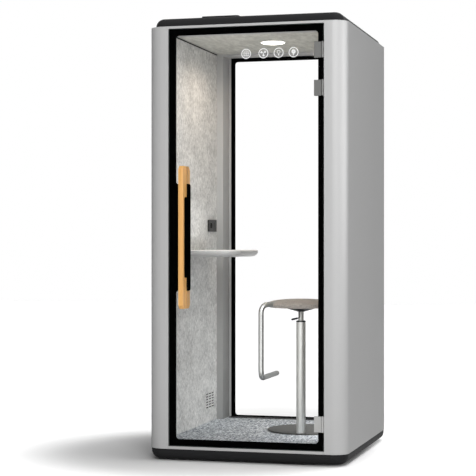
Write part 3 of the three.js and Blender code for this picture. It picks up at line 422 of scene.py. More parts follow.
def shading_tree():
    """Smooth shading with sharp edges above an angle, for CAD nodes whose mesh is loose facets."""
    tree = bpy.data.node_groups.get("smooth_by_angle")
    if tree:
        return tree
    tree, source = geometry_tree("smooth_by_angle", Angle="Float")
    edges = add(tree, "GeometryNodeInputMeshEdgeAngle")
    angles = {0: edges.outputs["Unsigned Angle"], 1: source.outputs["Angle"]}
    sharp = add(tree, "FunctionNodeCompare", angles, data_type="FLOAT", operation="GREATER_THAN")
    faces = {"Geometry": source.outputs["Geometry"], "Shade Smooth": True}
    smooth = add(tree, "GeometryNodeSetShadeSmooth", faces, domain="FACE")
    creases = {"Geometry": smooth, "Selection": sharp, "Shade Smooth": False}
    creased = add(tree, "GeometryNodeSetShadeSmooth", creases, domain="EDGE")
    add(tree, "NodeGroupOutput", {"Geometry": creased})
    return tree


def soften(part, width, segments, flatten):
    """Rounds a CAD node's sharp edges and smooths its facets, with modifiers that leave its mesh as it is."""
    weld = part.modifiers.new("weld", "WELD")
    weld.merge_threshold = 1e-5
    if flatten:
        flat = part.modifiers.new("flat_faces", "DECIMATE")
        flat.decimate_type = "DISSOLVE"
        flat.angle_limit = FLAT_ANGLE
    if width > 0:
        bevel = part.modifiers.new("edge_radius", "BEVEL")
        bevel.width = width
        bevel.segments = segments
        bevel.limit_method = "ANGLE"
        bevel.angle_limit = SHARP_ANGLE
        bevel.use_clamp_overlap = True
        bevel.miter_outer = "MITER_ARC"
    run_tree(part, shading_tree(), Angle=SHARP_ANGLE)
    weighted = part.modifiers.new("flat_normals", "WEIGHTED_NORMAL")
    weighted.keep_sharp = True
    weighted.weight = 80


def dress(material, nodes, edge=None, segments=3, flatten=True):
    """Gives CAD nodes their finish and, where an edge is named, its radius."""
    for node in nodes:
        part = frame["nodes"][node]
        part.data.materials.clear()
        part.data.materials.append(bpy.data.materials[material])
        if edge:
            soften(part, EDGE[edge], segments, flatten)


# Outlines and turned or bent shapes


def rounded(corners, steps=8):
    """A closed outline with round corners, from corners given as (across, up, radius)."""
    outline = []
    for index, (across, up, radius) in enumerate(corners):
        corner = Vector((across, up))
        if radius == 0:
            outline.append(tuple(corner))
            continue
        back = (Vector(corners[index - 1][:2]) - corner).normalized()
        ahead = (Vector(corners[(index + 1) % len(corners)][:2]) - corner).normalized()
        half = back.angle(ahead) / 2
        reach = radius / math.tan(half)
        centre = corner + (back + ahead).normalized() * radius / math.sin(half)
        first = corner + back * reach - centre
        last = corner + ahead * reach - centre
        sweep = first.angle(last)
        for step in range(steps + 1):
            share = step / steps
            arm = first * math.sin((1 - share) * sweep) + last * math.sin(share * sweep)
            outline.append(tuple(centre + arm / math.sin(sweep)))
    return outline


def circle(up, radius, steps=RING_STEPS):
    """A round outline, its middle that far up."""
    turns = [2 * math.pi * step / steps for step in range(steps)]
    return [(radius * math.cos(turn), up + radius * math.sin(turn)) for turn in turns]


def rectangle(left, right, bottom, top):
    """The corners of an upright rectangle."""
    return [(left, bottom), (right, bottom), (right, top), (left, top)]


def add_line(curve, knots, closed=False):
    """Adds straight runs to a curve, from knots given as (point, share of the radius)."""
    spline = curve.splines.new("POLY")
    spline.points.add(len(knots) - 1)
    spline.use_cyclic_u = closed
    for knot, (point, share) in zip(spline.points, knots):
        knot.co = (*point, 1)
        knot.radius = share


def curve_mesh(name, curve, spot=None):
    """A curve's closed mesh, moved by a matrix where there is one."""
    mesh = plain_mesh(link(name, curve), name)
    if spot is not None:
        mesh.transform(spot)
    made = bmesh.new()
    made.from_mesh(mesh)
    bpy.data.meshes.remove(mesh)
    return closed_mesh(made, name)


def print_mesh(name, outlines, level):
    """A thin print in X and Z, its middle at y = level; an outline inside another is a hole."""
    curve = bpy.data.curves.new(name, "CURVE")
    curve.dimensions = "2D"
    curve.fill_mode = "BOTH"
    curve.extrude = PRINT_THICKNESS / 2
    for outline in outlines:
        add_line(curve, [((across, up, 0), 1.0) for across, up in outline], closed=True)
    return curve_mesh(name, curve, Matrix.Translation((0, level, 0)) @ Matrix.Rotation(math.pi / 2, 4, "X"))


def blocks_mesh(name, boxes, edge):
    """Blocks with rounded edges, each from its low corner to its high corner."""
    made = bmesh.new()
    for low, high in boxes:
        spot = Matrix.Translation((low + high) / 2)
        bmesh.ops.create_cube(made, size=1, matrix=spot @ Matrix.Diagonal((*(high - low), 1)))
    bmesh.ops.bevel(made, geom=made.edges[:], offset=EDGE[edge], segments=2, affect="EDGES")
    return closed_mesh(made, name)


def turned_mesh(name, profile, centre, sides=TURNED_SIDES):
    """A turned mesh from (radius, height) pairs: from the axis back to the axis, or a closed loop off it."""
    made = bmesh.new()
    turns = [2 * math.pi * side / sides for side in range(sides)]
    rings = []
    for radius, height in profile:
        if radius < 1e-6:
            rings.append([made.verts.new((centre.x, centre.y, height))])
            continue
        spots = [(centre.x + radius * math.cos(t), centre.y + radius * math.sin(t), height) for t in turns]
        rings.append([made.verts.new(spot) for spot in spots])
    on_axis = len(rings[0]) == 1
    following = rings[1:] if on_axis else rings[1:] + rings[:1]
    for low, high in zip(rings, following):
        for side in range(sides):
            after = (side + 1) % sides
            below = [low[side % len(low)], low[after % len(low)]]
            above = [high[after % len(high)], high[side % len(high)]]
            made.faces.new(list(dict.fromkeys(below + above)))
    return closed_mesh(made, name)


def bar_profile(radius, wall, bottom, top, edge):
    """The profile of a turned tube, or of a solid bar where there is no wall, with its edges rounded."""
    if wall == 0:
        return rounded([(0, bottom, 0), (radius, bottom, edge), (radius, top, edge), (0, top, 0)], steps=5)
    corners = rectangle(radius - wall, radius, bottom, top)
    return rounded([(*corner, edge) for corner in corners], steps=4)


def bent_path(corners, bend):
    """Points along straight runs that are joined by bends, as the CAD route has them."""
    points = [corners[0]]
    for before, corner, after in zip(corners, corners[1:], corners[2:]):
        arriving = (corner - before).normalized()
        leaving = (after - corner).normalized()
        reach = bend * math.tan(arriving.angle(leaving) / 2)
        start = corner - arriving * reach
        end = corner + leaving * reach
        for step in range(BEND_STEPS + 1):
            share = step / BEND_STEPS
            points.append(start.lerp(corner, share).lerp(corner.lerp(end, share), share))
    points.append(corners[-1])
    return points


def tube_mesh(name, points, radius, dome):
    """A round bar along points, whose far end is domed over that length."""
    end = points[-1]
    direction = (end - points[-2]).normalized()
    knots = [(point, 1.0) for point in points[:-1]]
    for step in range(DOME_STEPS + 1):
        turn = step / DOME_STEPS * math.pi / 2
        knots.append((end - direction * dome * (1 - math.sin(turn)), max(0.02, math.cos(turn))))
    curve = bpy.data.curves.new(name, "CURVE")
    curve.dimensions = "3D"
    curve.bevel_depth = radius
    curve.bevel_resolution = TUBE_ROUND
    curve.use_fill_caps = True
    add_line(curve, knots)
    return curve_mesh(name, curve)


def footrest_route(spare=0.0):
    """The footrest's points: out from the seat's rim, down, and forward under it."""
    low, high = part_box("footrest")
    axis = middle_of("lift_rod")
    drop = Vector((low.x + FOOTREST_RADIUS, low.y + FOOTREST_RADIUS, high.z - FOOTREST_RADIUS))
    out = Vector((drop.x - axis.x, drop.y - axis.y, 0)).normalized()
    start = Vector((axis.x, axis.y, drop.z)) + out * (radius_of("seat_pad") - FOOTREST_GRIP - spare)
    bar = Vector((drop.x, drop.y, low.z + FOOTREST_RADIUS))
    return bent_path([start, drop, bar, Vector((bar.x, high.y, bar.z))], FOOTREST_BEND)


# Materials


def start_material(name):
    """A new material's empty tree, and the object coordinates that its patterns read."""
    material = bpy.data.materials.new(name)
    material.use_nodes = True
    tree = material.node_tree
    tree.nodes.clear()
    return tree, add(tree, "ShaderNodeTexCoord").outputs["Object"]


def seen_rays(tree):
    """1 for what the camera sees, also in a mirror or through a pane, and 0 for light that only bounces."""
    path = add(tree, "ShaderNodeLightPath")
    bent = {0: path.outputs["Is Glossy Ray"], 1: path.outputs["Is Transmission Ray"]}
    mirrored = add(tree, "ShaderNodeMath", bent, operation="MAXIMUM")
    return add(tree, "ShaderNodeMath", {0: path.outputs["Is Camera Ray"], 1: mirrored}, operation="MAXIMUM")


def coated(name, colour, grain, spread, gloss, relief, specular=0.5, metallic=0.0, glow=0.0, edge=None):
    """A painted or moulded skin: fine grain of one size in its colour, gloss and relief.

    With an edge colour, what doesn't look up takes that colour instead, as painted shade.
    """
    tree, where = start_material(name)
    noise = add(tree, "ShaderNodeTexNoise", {"Vector": where, "Scale": per_metre(grain), "Detail": 3.0})
    shades = {MIX_FACTOR: noise, MIX_A: tone(colour, 1 - spread), MIX_B: tone(colour, 1 + spread)}
    skin = add(tree, "ShaderNodeMix", shades, data_type="RGBA")
    # Faces that don't look up get the edge colour: painted shade
    if edge:
        way = add(tree, "ShaderNodeSeparateXYZ", {0: where.node.outputs["Normal"]})
        upper = add(tree, "ShaderNodeMapRange", {"Value": way.outputs["Z"], "From Min": 0.4, "From Max": 0.9})
        shades = {MIX_FACTOR: upper, MIX_A: tone(edge), MIX_B: skin}
        skin = add(tree, "ShaderNodeMix", shades, data_type="RGBA")
    shine = add(
        tree,
        "ShaderNodeMapRange",
        {"Value": noise, "From Min": 0.3, "From Max": 0.7, "To Min": gloss[0], "To Max": gloss[1]},
    )
    bump = add(tree, "ShaderNodeBump", {"Height": noise, "Distance": relief, "Strength": 0.5})
    constants = {"Metallic": metallic, "Specular IOR Level": specular, "Emission Strength": glow}
    finish = {"Base Color": skin, "Roughness": shine, "Normal": bump, **constants}
    shader = add(tree, "ShaderNodeBsdfPrincipled", finish)
    add(tree, "ShaderNodeOutputMaterial", {"Surface": shader})


def needled_felt(name, dark, light, tuft, face=None):
    """Needle-punched polyester felt: pale and dark fibres in drawn-out tufts, soft and without gloss.

    The single fibres are far too fine to show, so they are drawn as a 3.5 mm fleck. A face, as a distance
    from the middle of the pod, makes the felt near black behind it: painted shade in the air slots.
    """
    tree, where = start_material(name)
    drawn = add(tree, "ShaderNodeMapping", {"Vector": where, "Scale": per_metre(tuft)})
    tufts = add(
        tree,
        "ShaderNodeTexNoise",
        {"Vector": drawn, "Scale": 1.0, "Detail": 5.0, "Roughness": 0.62, "Distortion": 0.5},
    )
    fibres = add(
        tree,
        "ShaderNodeTexNoise",
        {"Vector": where, "Scale": per_metre(FELT_FIBRE), "Detail": 3.0, "Roughness": 0.6},
    )
    both = add(tree, "ShaderNodeMath", {0: fibres, 1: 0.45, 2: tufts}, operation="MULTIPLY_ADD")
    wide = add(tree, "ShaderNodeMapping", {"Vector": where, "Scale": per_metre(FELT_CLOUD)})
    clouds = add(tree, "ShaderNodeTexNoise", {"Vector": wide, "Scale": 1.0, "Detail": 2.0})
    mottled = add(tree, "ShaderNodeMath", {0: clouds, 1: 0.35, 2: both}, operation="MULTIPLY_ADD")
    share = add(tree, "ShaderNodeMapRange", {"Value": mottled, "From Min": 0.68, "From Max": 1.12})
    shades = {MIX_FACTOR: share, MIX_A: tone(dark), MIX_B: tone(light)}
    colour = add(tree, "ShaderNodeMix", shades, data_type="RGBA")
    # Deeper than the face, the felt turns near black: painted shade in the air slots
    if face:
        spot = add(tree, "ShaderNodeSeparateXYZ", {0: where})
        out = add(tree, "ShaderNodeMath", {0: spot.outputs["X"]}, operation="ABSOLUTE")
        start, end = (face + depth for depth in SLOT_SHADE_DEPTH)
        slot_shade = add(tree, "ShaderNodeMapRange", {"Value": out, "From Min": start, "From Max": end})
        shades = {MIX_FACTOR: slot_shade, MIX_A: colour, MIX_B: tone(linear(SLOT_SHADE_BLACK))}
        colour = add(tree, "ShaderNodeMix", shades, data_type="RGBA")
    bump = add(tree, "ShaderNodeBump", {"Height": both, "Distance": 0.0012, "Strength": 0.55})
    constants = {"Roughness": 0.95, "Specular IOR Level": 0.1, "Sheen Weight": 0.12}
    finish = {"Base Color": colour, "Normal": bump, **constants}
    shader = add(tree, "ShaderNodeBsdfPrincipled", finish)
    add(tree, "ShaderNodeOutputMaterial", {"Surface": shader})


def loop_carpet(look):
    """Tufted loop-pile nylon carpet: every loop its own shade of blue-grey, with paler and darker rows."""
    tree, where = start_material("tufted_loop_carpet")
    loops = add(
        tree,
        "ShaderNodeTexVoronoi",
        {"Vector": where, "Scale": per_metre(CARPET_LOOP), "Randomness": 1.0},
        voronoi_dimensions="3D",
        feature="F1",
    )
    shade = add(tree, "ShaderNodeSeparateColor", {"Color": loops.outputs["Color"]})
    rows = add(tree, "ShaderNodeMapping", {"Vector": where, "Scale": per_metre(CARPET_PATCH)})
    mottle = {"Vector": rows, "Scale": 1.0, "Detail": 3.0, "Roughness": 0.6}
    patches = add(tree, "ShaderNodeTexNoise", mottle)
    both = add(tree, "ShaderNodeMath", {0: shade, 1: 0.45, 2: patches}, operation="MULTIPLY_ADD")
    darker = add(tree, "ShaderNodeMapRange", {"Value": both, "From Min": 0.52, "From Max": 0.72})
    paler = add(tree, "ShaderNodeMapRange", {"Value": both, "From Min": 0.72, "From Max": 0.90})
    shades = {MIX_FACTOR: darker, MIX_A: tone(look.carpet_dark), MIX_B: tone(look.carpet)}
    low = add(tree, "ShaderNodeMix", shades, data_type="RGBA")
    shades = {MIX_FACTOR: paler, MIX_A: low, MIX_B: tone(look.carpet_light)}
    pile = add(tree, "ShaderNodeMix", shades, data_type="RGBA")
    height = {"Height": loops.outputs["Distance"], "Distance": 0.003, "Strength": 0.5}
    bump = add(tree, "ShaderNodeBump", height, invert=True)
    constants = {"Roughness": 0.92, "Specular IOR Level": 0.15, "Sheen Weight": 0.15}
    finish = {"Base Color": pile, "Normal": bump, **constants}
    shader = add(tree, "ShaderNodeBsdfPrincipled", finish)
    add(tree, "ShaderNodeOutputMaterial", {"Surface": shader})


def grained_wood(name, dark, light, line, band, gloss):
    """Oiled wood: fine grain lines along its length over broad paler bands, with a low silky gloss."""
    tree, where = start_material(name)
    fine = add(tree, "ShaderNodeMapping", {"Vector": where, "Scale": per_metre(line)})
    grain = {"Vector": fine, "Scale": 1.0, "Detail": 4.0, "Roughness": 0.6}
    lines = add(tree, "ShaderNodeTexNoise", grain)
    broad = add(tree, "ShaderNodeMapping", {"Vector": where, "Scale": per_metre(band)})
    figure = {"Vector": broad, "Scale": 1.0, "Detail": 2.0, "Distortion": 0.8}
    bands = add(tree, "ShaderNodeTexNoise", figure)
    both = add(tree, "ShaderNodeMath", {0: lines, 1: 0.7, 2: bands}, operation="MULTIPLY_ADD")
    share = add(tree, "ShaderNodeMapRange", {"Value": both, "From Min": 0.6, "From Max": 1.1})
    shades = {MIX_FACTOR: share, MIX_A: tone(dark), MIX_B: tone(light)}
    colour = add(tree, "ShaderNodeMix", shades, data_type="RGBA")
    silk = {"Value": lines, "To Min": gloss + 0.08, "To Max": gloss - 0.08}
    shine = add(tree, "ShaderNodeMapRange", silk)
    bump = add(tree, "ShaderNodeBump", {"Height": lines, "Distance": 0.0002, "Strength": 0.5})
    finish = {"Base Color": colour, "Roughness": shine, "Specular IOR Level": 0.08, "Normal": bump}
    shader = add(tree, "ShaderNodeBsdfPrincipled", finish)
    add(tree, "ShaderNodeOutputMaterial", {"Surface": shader})


def brushed_steel(name, colour, gloss, rim=0.9):
    """Stainless steel, brushed along its length: bright, with fine drawn streaks in its gloss.

    The real brush lines are under 0.1 mm, so they are drawn 1.4 mm wide. The rim is what it mirrors at a
    slant.
    """
    tree, where = start_material(name)
    drawn = add(tree, "ShaderNodeMapping", {"Vector": where, "Scale": per_metre(BRUSH_LINE)})
    lines = add(tree, "ShaderNodeTexNoise", {"Vector": drawn, "Scale": 1.0, "Detail": 3.0})
    shades = {MIX_FACTOR: lines, MIX_A: tone(colour, 0.92), MIX_B: tone(colour, 1.06)}
    metal = add(tree, "ShaderNodeMix", shades, data_type="RGBA")
    shine = add(tree, "ShaderNodeMapRange", {"Value": lines, "To Min": gloss[0], "To Max": gloss[1]})
    bump = add(tree, "ShaderNodeBump", {"Height": lines, "Distance": 0.00004, "Strength": 0.4})
    constants = {"Metallic": 1.0, "Specular Tint": tone((rim,) * 3)}
    finish = {"Base Color": metal, "Roughness": shine, "Normal": bump, **constants}
    shader = add(tree, "ShaderNodeBsdfPrincipled", finish)
    add(tree, "ShaderNodeOutputMaterial", {"Surface": shader})


def toughened_glass(look):
    """Toughened float glass: clear faces that mirror a little at a slant, and green ground edges."""
    tree, where = start_material("toughened_float_glass")
    way = add(tree, "ShaderNodeSeparateXYZ", {0: where.node.outputs["Normal"]})
    size = add(tree, "ShaderNodeMath", {0: way.outputs["Y"]}, operation="ABSOLUTE")
    edge = add(tree, "ShaderNodeMath", {0: size, 1: 0.7}, operation="LESS_THAN")
    weight = add(tree, "ShaderNodeLayerWeight", {"Blend": 0.5})
    curve = add(tree, "ShaderNodeMath", {0: weight.outputs["Facing"], 1: 4.0}, operation="POWER")
    gloss = add(tree, "ShaderNodeMath", {0: curve, 1: 0.45}, operation="MULTIPLY")
    path = add(tree, "ShaderNodeLightPath")
    shadow = path.outputs["Is Shadow Ray"]
    shades = {MIX_FACTOR: shadow, MIX_A: tone(look.glass), MIX_B: tone(look.glass_shadow)}
    passed = add(tree, "ShaderNodeMix", shades, data_type="RGBA")
    clear = add(tree, "ShaderNodeBsdfTransparent", {"Color": passed})
    polished = {"Base Color": (0.9, 0.92, 0.92, 1), "Metallic": 1.0, "Roughness": 0.03}
    mirror = add(tree, "ShaderNodeBsdfPrincipled", polished)
    face = add(tree, "ShaderNodeMixShader", {0: gloss, 1: clear, 2: mirror})
    rough = {"Base Color": tone(look.glass_edge), "Roughness": 0.3, "IOR": 1.52}
    ground = add(tree, "ShaderNodeBsdfPrincipled", rough)
    pane = add(tree, "ShaderNodeMixShader", {0: edge, 1: face, 2: ground})
    add(tree, "ShaderNodeOutputMaterial", {"Surface": pane})


def woven_wool(look):
    """Woven wool upholstery: warp and weft of mixed grey-brown yarn, with a soft bloom on its surface.

    The yarn is about 1 mm apart, and is drawn 3.4 mm apart so that it shows.
    """
    tree, where = start_material("woven_wool_upholstery")
    spacing = per_metre(WEAVE_THREAD) / 20 * math.pi
    thread = {"Vector": where, "Scale": spacing, "Distortion": 1.2, "Detail": 2.0}
    warp = add(tree, "ShaderNodeTexWave", thread, bands_direction="X")
    weft = add(tree, "ShaderNodeTexWave", thread, bands_direction="Y")
    crossing = {0: warp.outputs["Fac"], 1: weft.outputs["Fac"]}
    weave = add(tree, "ShaderNodeMath", crossing, operation="MULTIPLY")
    clumps = {"Vector": where, "Scale": per_metre(YARN_CLUMP), "Detail": 4.0, "Roughness": 0.65}
    yarn = add(tree, "ShaderNodeTexNoise", clumps)
    both = add(tree, "ShaderNodeMath", {0: weave, 1: 0.35, 2: yarn}, operation="MULTIPLY_ADD")
    share = add(tree, "ShaderNodeMapRange", {"Value": both, "From Min": 0.35, "From Max": 0.85})
    shades = {MIX_FACTOR: share, MIX_A: tone(look.fabric_dark), MIX_B: tone(look.fabric_light)}
    colour = add(tree, "ShaderNodeMix", shades, data_type="RGBA")
    bump = add(tree, "ShaderNodeBump", {"Height": both, "Distance": 0.0006, "Strength": 0.6})
    constants = {"Roughness": 0.9, "Specular IOR Level": 0.15, "Sheen Weight": 0.2}
    finish = {"Base Color": colour, "Normal": bump, **constants}
    shader = add(tree, "ShaderNodeBsdfPrincipled", finish)
    add(tree, "ShaderNodeOutputMaterial", {"Surface": shader})


def opal_acrylic(look):
    """Opal acrylic over a row of LEDs: an even white glow, with a faint cloud in it."""
    tree, where = start_material("opal_acrylic")
    cloud = add(tree, "ShaderNodeTexNoise", {"Vector": where, "Scale": per_metre(OPAL_CLOUD), "Detail": 1.0})
    glow = add(tree, "ShaderNodeMapRange", {"Value": cloud, "To Min": 2.6, "To Max": 3.0})
    white = tone(look.opal)
    finish = {"Base Color": white, "Roughness": 0.45, "Emission Color": white, "Emission Strength": glow}
    shader = add(tree, "ShaderNodeBsdfPrincipled", finish)
    add(tree, "ShaderNodeOutputMaterial", {"Surface": shader})


def studio_floor():
    """A seamless pale studio floor that keeps the pod's shadow, burns out to white away from it by painted
    light, and has a painted shadow behind it.
    """
    tree, where = start_material("seamless_studio_floor")
    seen = seen_rays(tree)
    cloud = add(tree, "ShaderNodeTexNoise", {"Vector": where, "Scale": per_metre(FLOOR_CLOUD), "Detail": 1.0})
    dark, light = (tone((level,) * 3) for level in FLOOR_BOUNCED)
    bounced = add(tree, "ShaderNodeMix", {MIX_FACTOR: cloud, MIX_A: dark, MIX_B: light}, data_type="RGBA")
    shades = {MIX_FACTOR: seen, MIX_A: bounced, MIX_B: tone((FLOOR_SEEN,) * 3)}
    paper = add(tree, "ShaderNodeMix", shades, data_type="RGBA")
    away = add(tree, "ShaderNodeVectorMath", {0: where, 1: FLOOR_SHADE}, operation="DISTANCE")
    bright = add(
        tree,
        "ShaderNodeMapRange",
        {"Value": away.outputs["Value"], "From Min": 0.65, "From Max": 1.2, "To Min": 0.0, "To Max": 0.46},
        interpolation_type="SMOOTHSTEP",
    )
    # Less painted light near the rear point: a painted shadow behind the pod
    behind = add(tree, "ShaderNodeVectorMath", {0: where, 1: REAR_PAINTED_SHADOW}, operation="DISTANCE")
    clear = add(
        tree,
        "ShaderNodeMapRange",
        {"Value": behind.outputs["Value"], "From Min": 0.2, "From Max": 1.0, "To Min": 0.6, "To Max": 1.0},
        interpolation_type="SMOOTHSTEP",
    )
    far = add(tree, "ShaderNodeMath", {0: bright, 1: clear}, operation="MULTIPLY")
    lift = add(tree, "ShaderNodeMath", {0: seen, 1: far}, operation="MULTIPLY")
    matt = add(tree, "ShaderNodeBsdfDiffuse", {"Color": paper})
    white = add(tree, "ShaderNodeEmission", {"Strength": lift})
    both = add(tree, "ShaderNodeAddShader", {0: matt, 1: white})
    add(tree, "ShaderNodeOutputMaterial", {"Surface": both})


# What a user would change


def colour_of(name, description, hex_colour):
    """A colour property whose default is an sRGB hex value."""
    return FloatVectorProperty(
        name=name, description=description, subtype="COLOR", size=3, min=0, max=1, default=linear(hex_colour)
    )


def length_of(name, description, default):
    """A length property in metres."""
    return FloatProperty(name=name, description=description, unit="LENGTH", default=default, min=0)


def level_of(name, description, default):
    """A power, pressure or level property."""
    return FloatProperty(name=name, description=description, default=default, min=0)


class PodColours(bpy.types.PropertyGroup):
    """Colours of the pod's finishes."""

    silver: colour_of("Silver paint", "Powder coat of the walls, rails and posts", "B8B8B8")
    abs_black: colour_of("Black base", "Moulded plinth, roof cap and hood", "2A2A2B")
    black: colour_of("Black fittings", "Rubber, small mouldings and black steel", "101011")
    print_black: colour_of("Printed border", "Fired enamel round the glass", "060606")
    print_white: colour_of("Pictograms", "White print on the door", "F2F2F2")
    felt_dark: colour_of("Felt, dark fibres", "Wall lining", "A6A6A5")
    felt_light: colour_of("Felt, pale fibres", "Wall lining", "ECECEA")
    ceiling_dark: colour_of("Ceiling, dark fibres", "Ceiling lining", "A5A59F")
    ceiling_light: colour_of("Ceiling, pale fibres", "Ceiling lining", "CDCDC6")
    carpet: colour_of("Carpet", "Main yarn", "AEB4BC")
    carpet_dark: colour_of("Carpet, dark loops", "Dark yarn", "58606C")
    carpet_light: colour_of("Carpet, pale loops", "Pale yarn", "EDF0F2")
    oak_dark: colour_of("Handle, grain", "Dark grain of the handles", "DCA35A")
    oak_light: colour_of("Handle", "Main colour of the handles", "FBC480")
    steel: colour_of("Steel", "Column and rod of the stool", "E8E8E5")
    tube: colour_of("Footrest", "Bent steel tube of the footrest", "CFD0CE")
    # Lit and shaded copies of one hinge steel: the lowest painted lighter as reflection, the upper ones
    # darker as shade
    hinge: colour_of("Hinges", "Bead-blasted steel of the upper hinges", "5C5C5B")
    hinge_low_painted_reflection: colour_of("Lower hinge", "Satin steel of the lowest hinge", "9C9C9B")
    bronze: colour_of("Stool plate", "Powder coat of the stool's base plate", "575755")
    laminate: colour_of("Table", "Laminate of the table", "FAFAF8")
    # Painted shade on the table's faces that don't look up, its edge and underside
    table_painted_shade: colour_of("Table edge", "Grey band round the table", "C6C6C6")
    dark_plastic: colour_of("Power box", "Moulded socket box", "2F2E2D")
    fabric_dark: colour_of("Seat, dark yarn", "Upholstery", "A59C95")
    fabric_light: colour_of("Seat, pale yarn", "Upholstery", "D5CCC4")
    glass: colour_of("Glass", "What a pane's face lets through", "FFFFFF")
    glass_shadow: colour_of("Glass, light", "What a pane lets through of the lamps' light", "D8DAD9")
    glass_edge: colour_of("Glass edge", "Ground edges of the panes", "33403B")
    opal: colour_of("Light", "Ceiling light's cover", "FFFBF2")


class PodSizes(bpy.types.PropertyGroup):
    """Sizes of what the looks add to the CAD frame."""

    border: length_of("Border", "Width of the printed border round the glass", 0.0375)
    border_right: length_of("Border, hinges", "Width of the door's printed border beside the hinges", 0.028)
    border_bottom: length_of("Border, bottom", "Height of the door's printed border below the view", 0.0348)
    border_top: length_of("Border, top", "Height of the door's printed border above the view", 0.0343)
    border_corner: length_of("Border corner", "Radius of the border's inner corners", 0.016)
    patch_reach: length_of("Handle print", "Width of the print behind the handle, past the border", 0.078)
    patch_low: length_of("Handle print, low end", "Height of its lower end", 0.882)
    patch_high: length_of("Handle print, high end", "Height of its upper end", 1.435)
    patch_corner: length_of("Handle print corner", "Radius of its corners", 0.012)
    ring: length_of("Pictogram ring", "Diameter of the rings", 0.0515)
    ring_line: length_of("Pictogram line", "Width of the rings", 0.0042)
    pile: length_of("Pile relief", "How far the carpet's loops rise and fall", 0.0042)
    pile_step: length_of("Pile step", "Spacing of the carpet's loops", 0.0048)
    pile_seed: IntProperty(name="Pile seed", description="Seed of the carpet's relief", default=7, min=0)
    screw_head: length_of("Screw head", "Radius of the hinge screws", 0.0045)
    seat_shrink: length_of("Seat slack", "How much smaller the seat starts before it swells", 0.005)
    seat_voxel: length_of("Seat mesh", "Size of the seat's cloth mesh", 0.005)
    seat_cap: length_of("Seat swell", "The furthest that a point of the seat may move", 0.005)
    seat_pressure: level_of("Seat pressure", "Pressure that swells the seat", 4.0)


class PodStage(bpy.types.PropertyGroup):
    """Camera and light."""

    camera_place: FloatVectorProperty(
        name="Camera", description="Where the camera stands", subtype="TRANSLATION", unit="LENGTH",
        size=3, default=(2.00624, -7.96111, 1.11757),
    )
    camera_turn: FloatProperty(
        name="Camera turn", description="Turn about the vertical", subtype="ANGLE",
        default=math.radians(15.4319),
    )
    focal_length: FloatProperty(
        name="Focal length", description="In millimetres on a 36 mm sensor", default=113.496, min=1
    )
    shift: FloatProperty(name="Shift", description="Upward shift of the lens", default=0.01527)
    sky: level_of("Sky", "Level of the soft light from all round", 0.22)
    sky_left: level_of("Sky, left", "Its level from the left", 0.03)
    key: level_of("Key", "Power of the soft front light", 184.0)
    low: level_of("Low", "Power of the low front light", 15.0)
    front_card: level_of("Front card", "Power of the card that the front mirrors", 56.0)
    side_card: level_of("Side card", "Power of the card that the right side mirrors", 138.0)
    fill: level_of("Fill", "Power of the light that the door lets in", 2.0)
    wall_fill: level_of("Wall fill", "Power of the light that the right wall gives back", 3.9)
    table_fill: level_of("Table fill", "Power of the light that the table gives back", 0.65)
    sun: level_of("Rear light", "Strength of the rear light", 1.9)
    lamp: level_of("Ceiling light", "Power of the ceiling light", 13.4)


# Operators


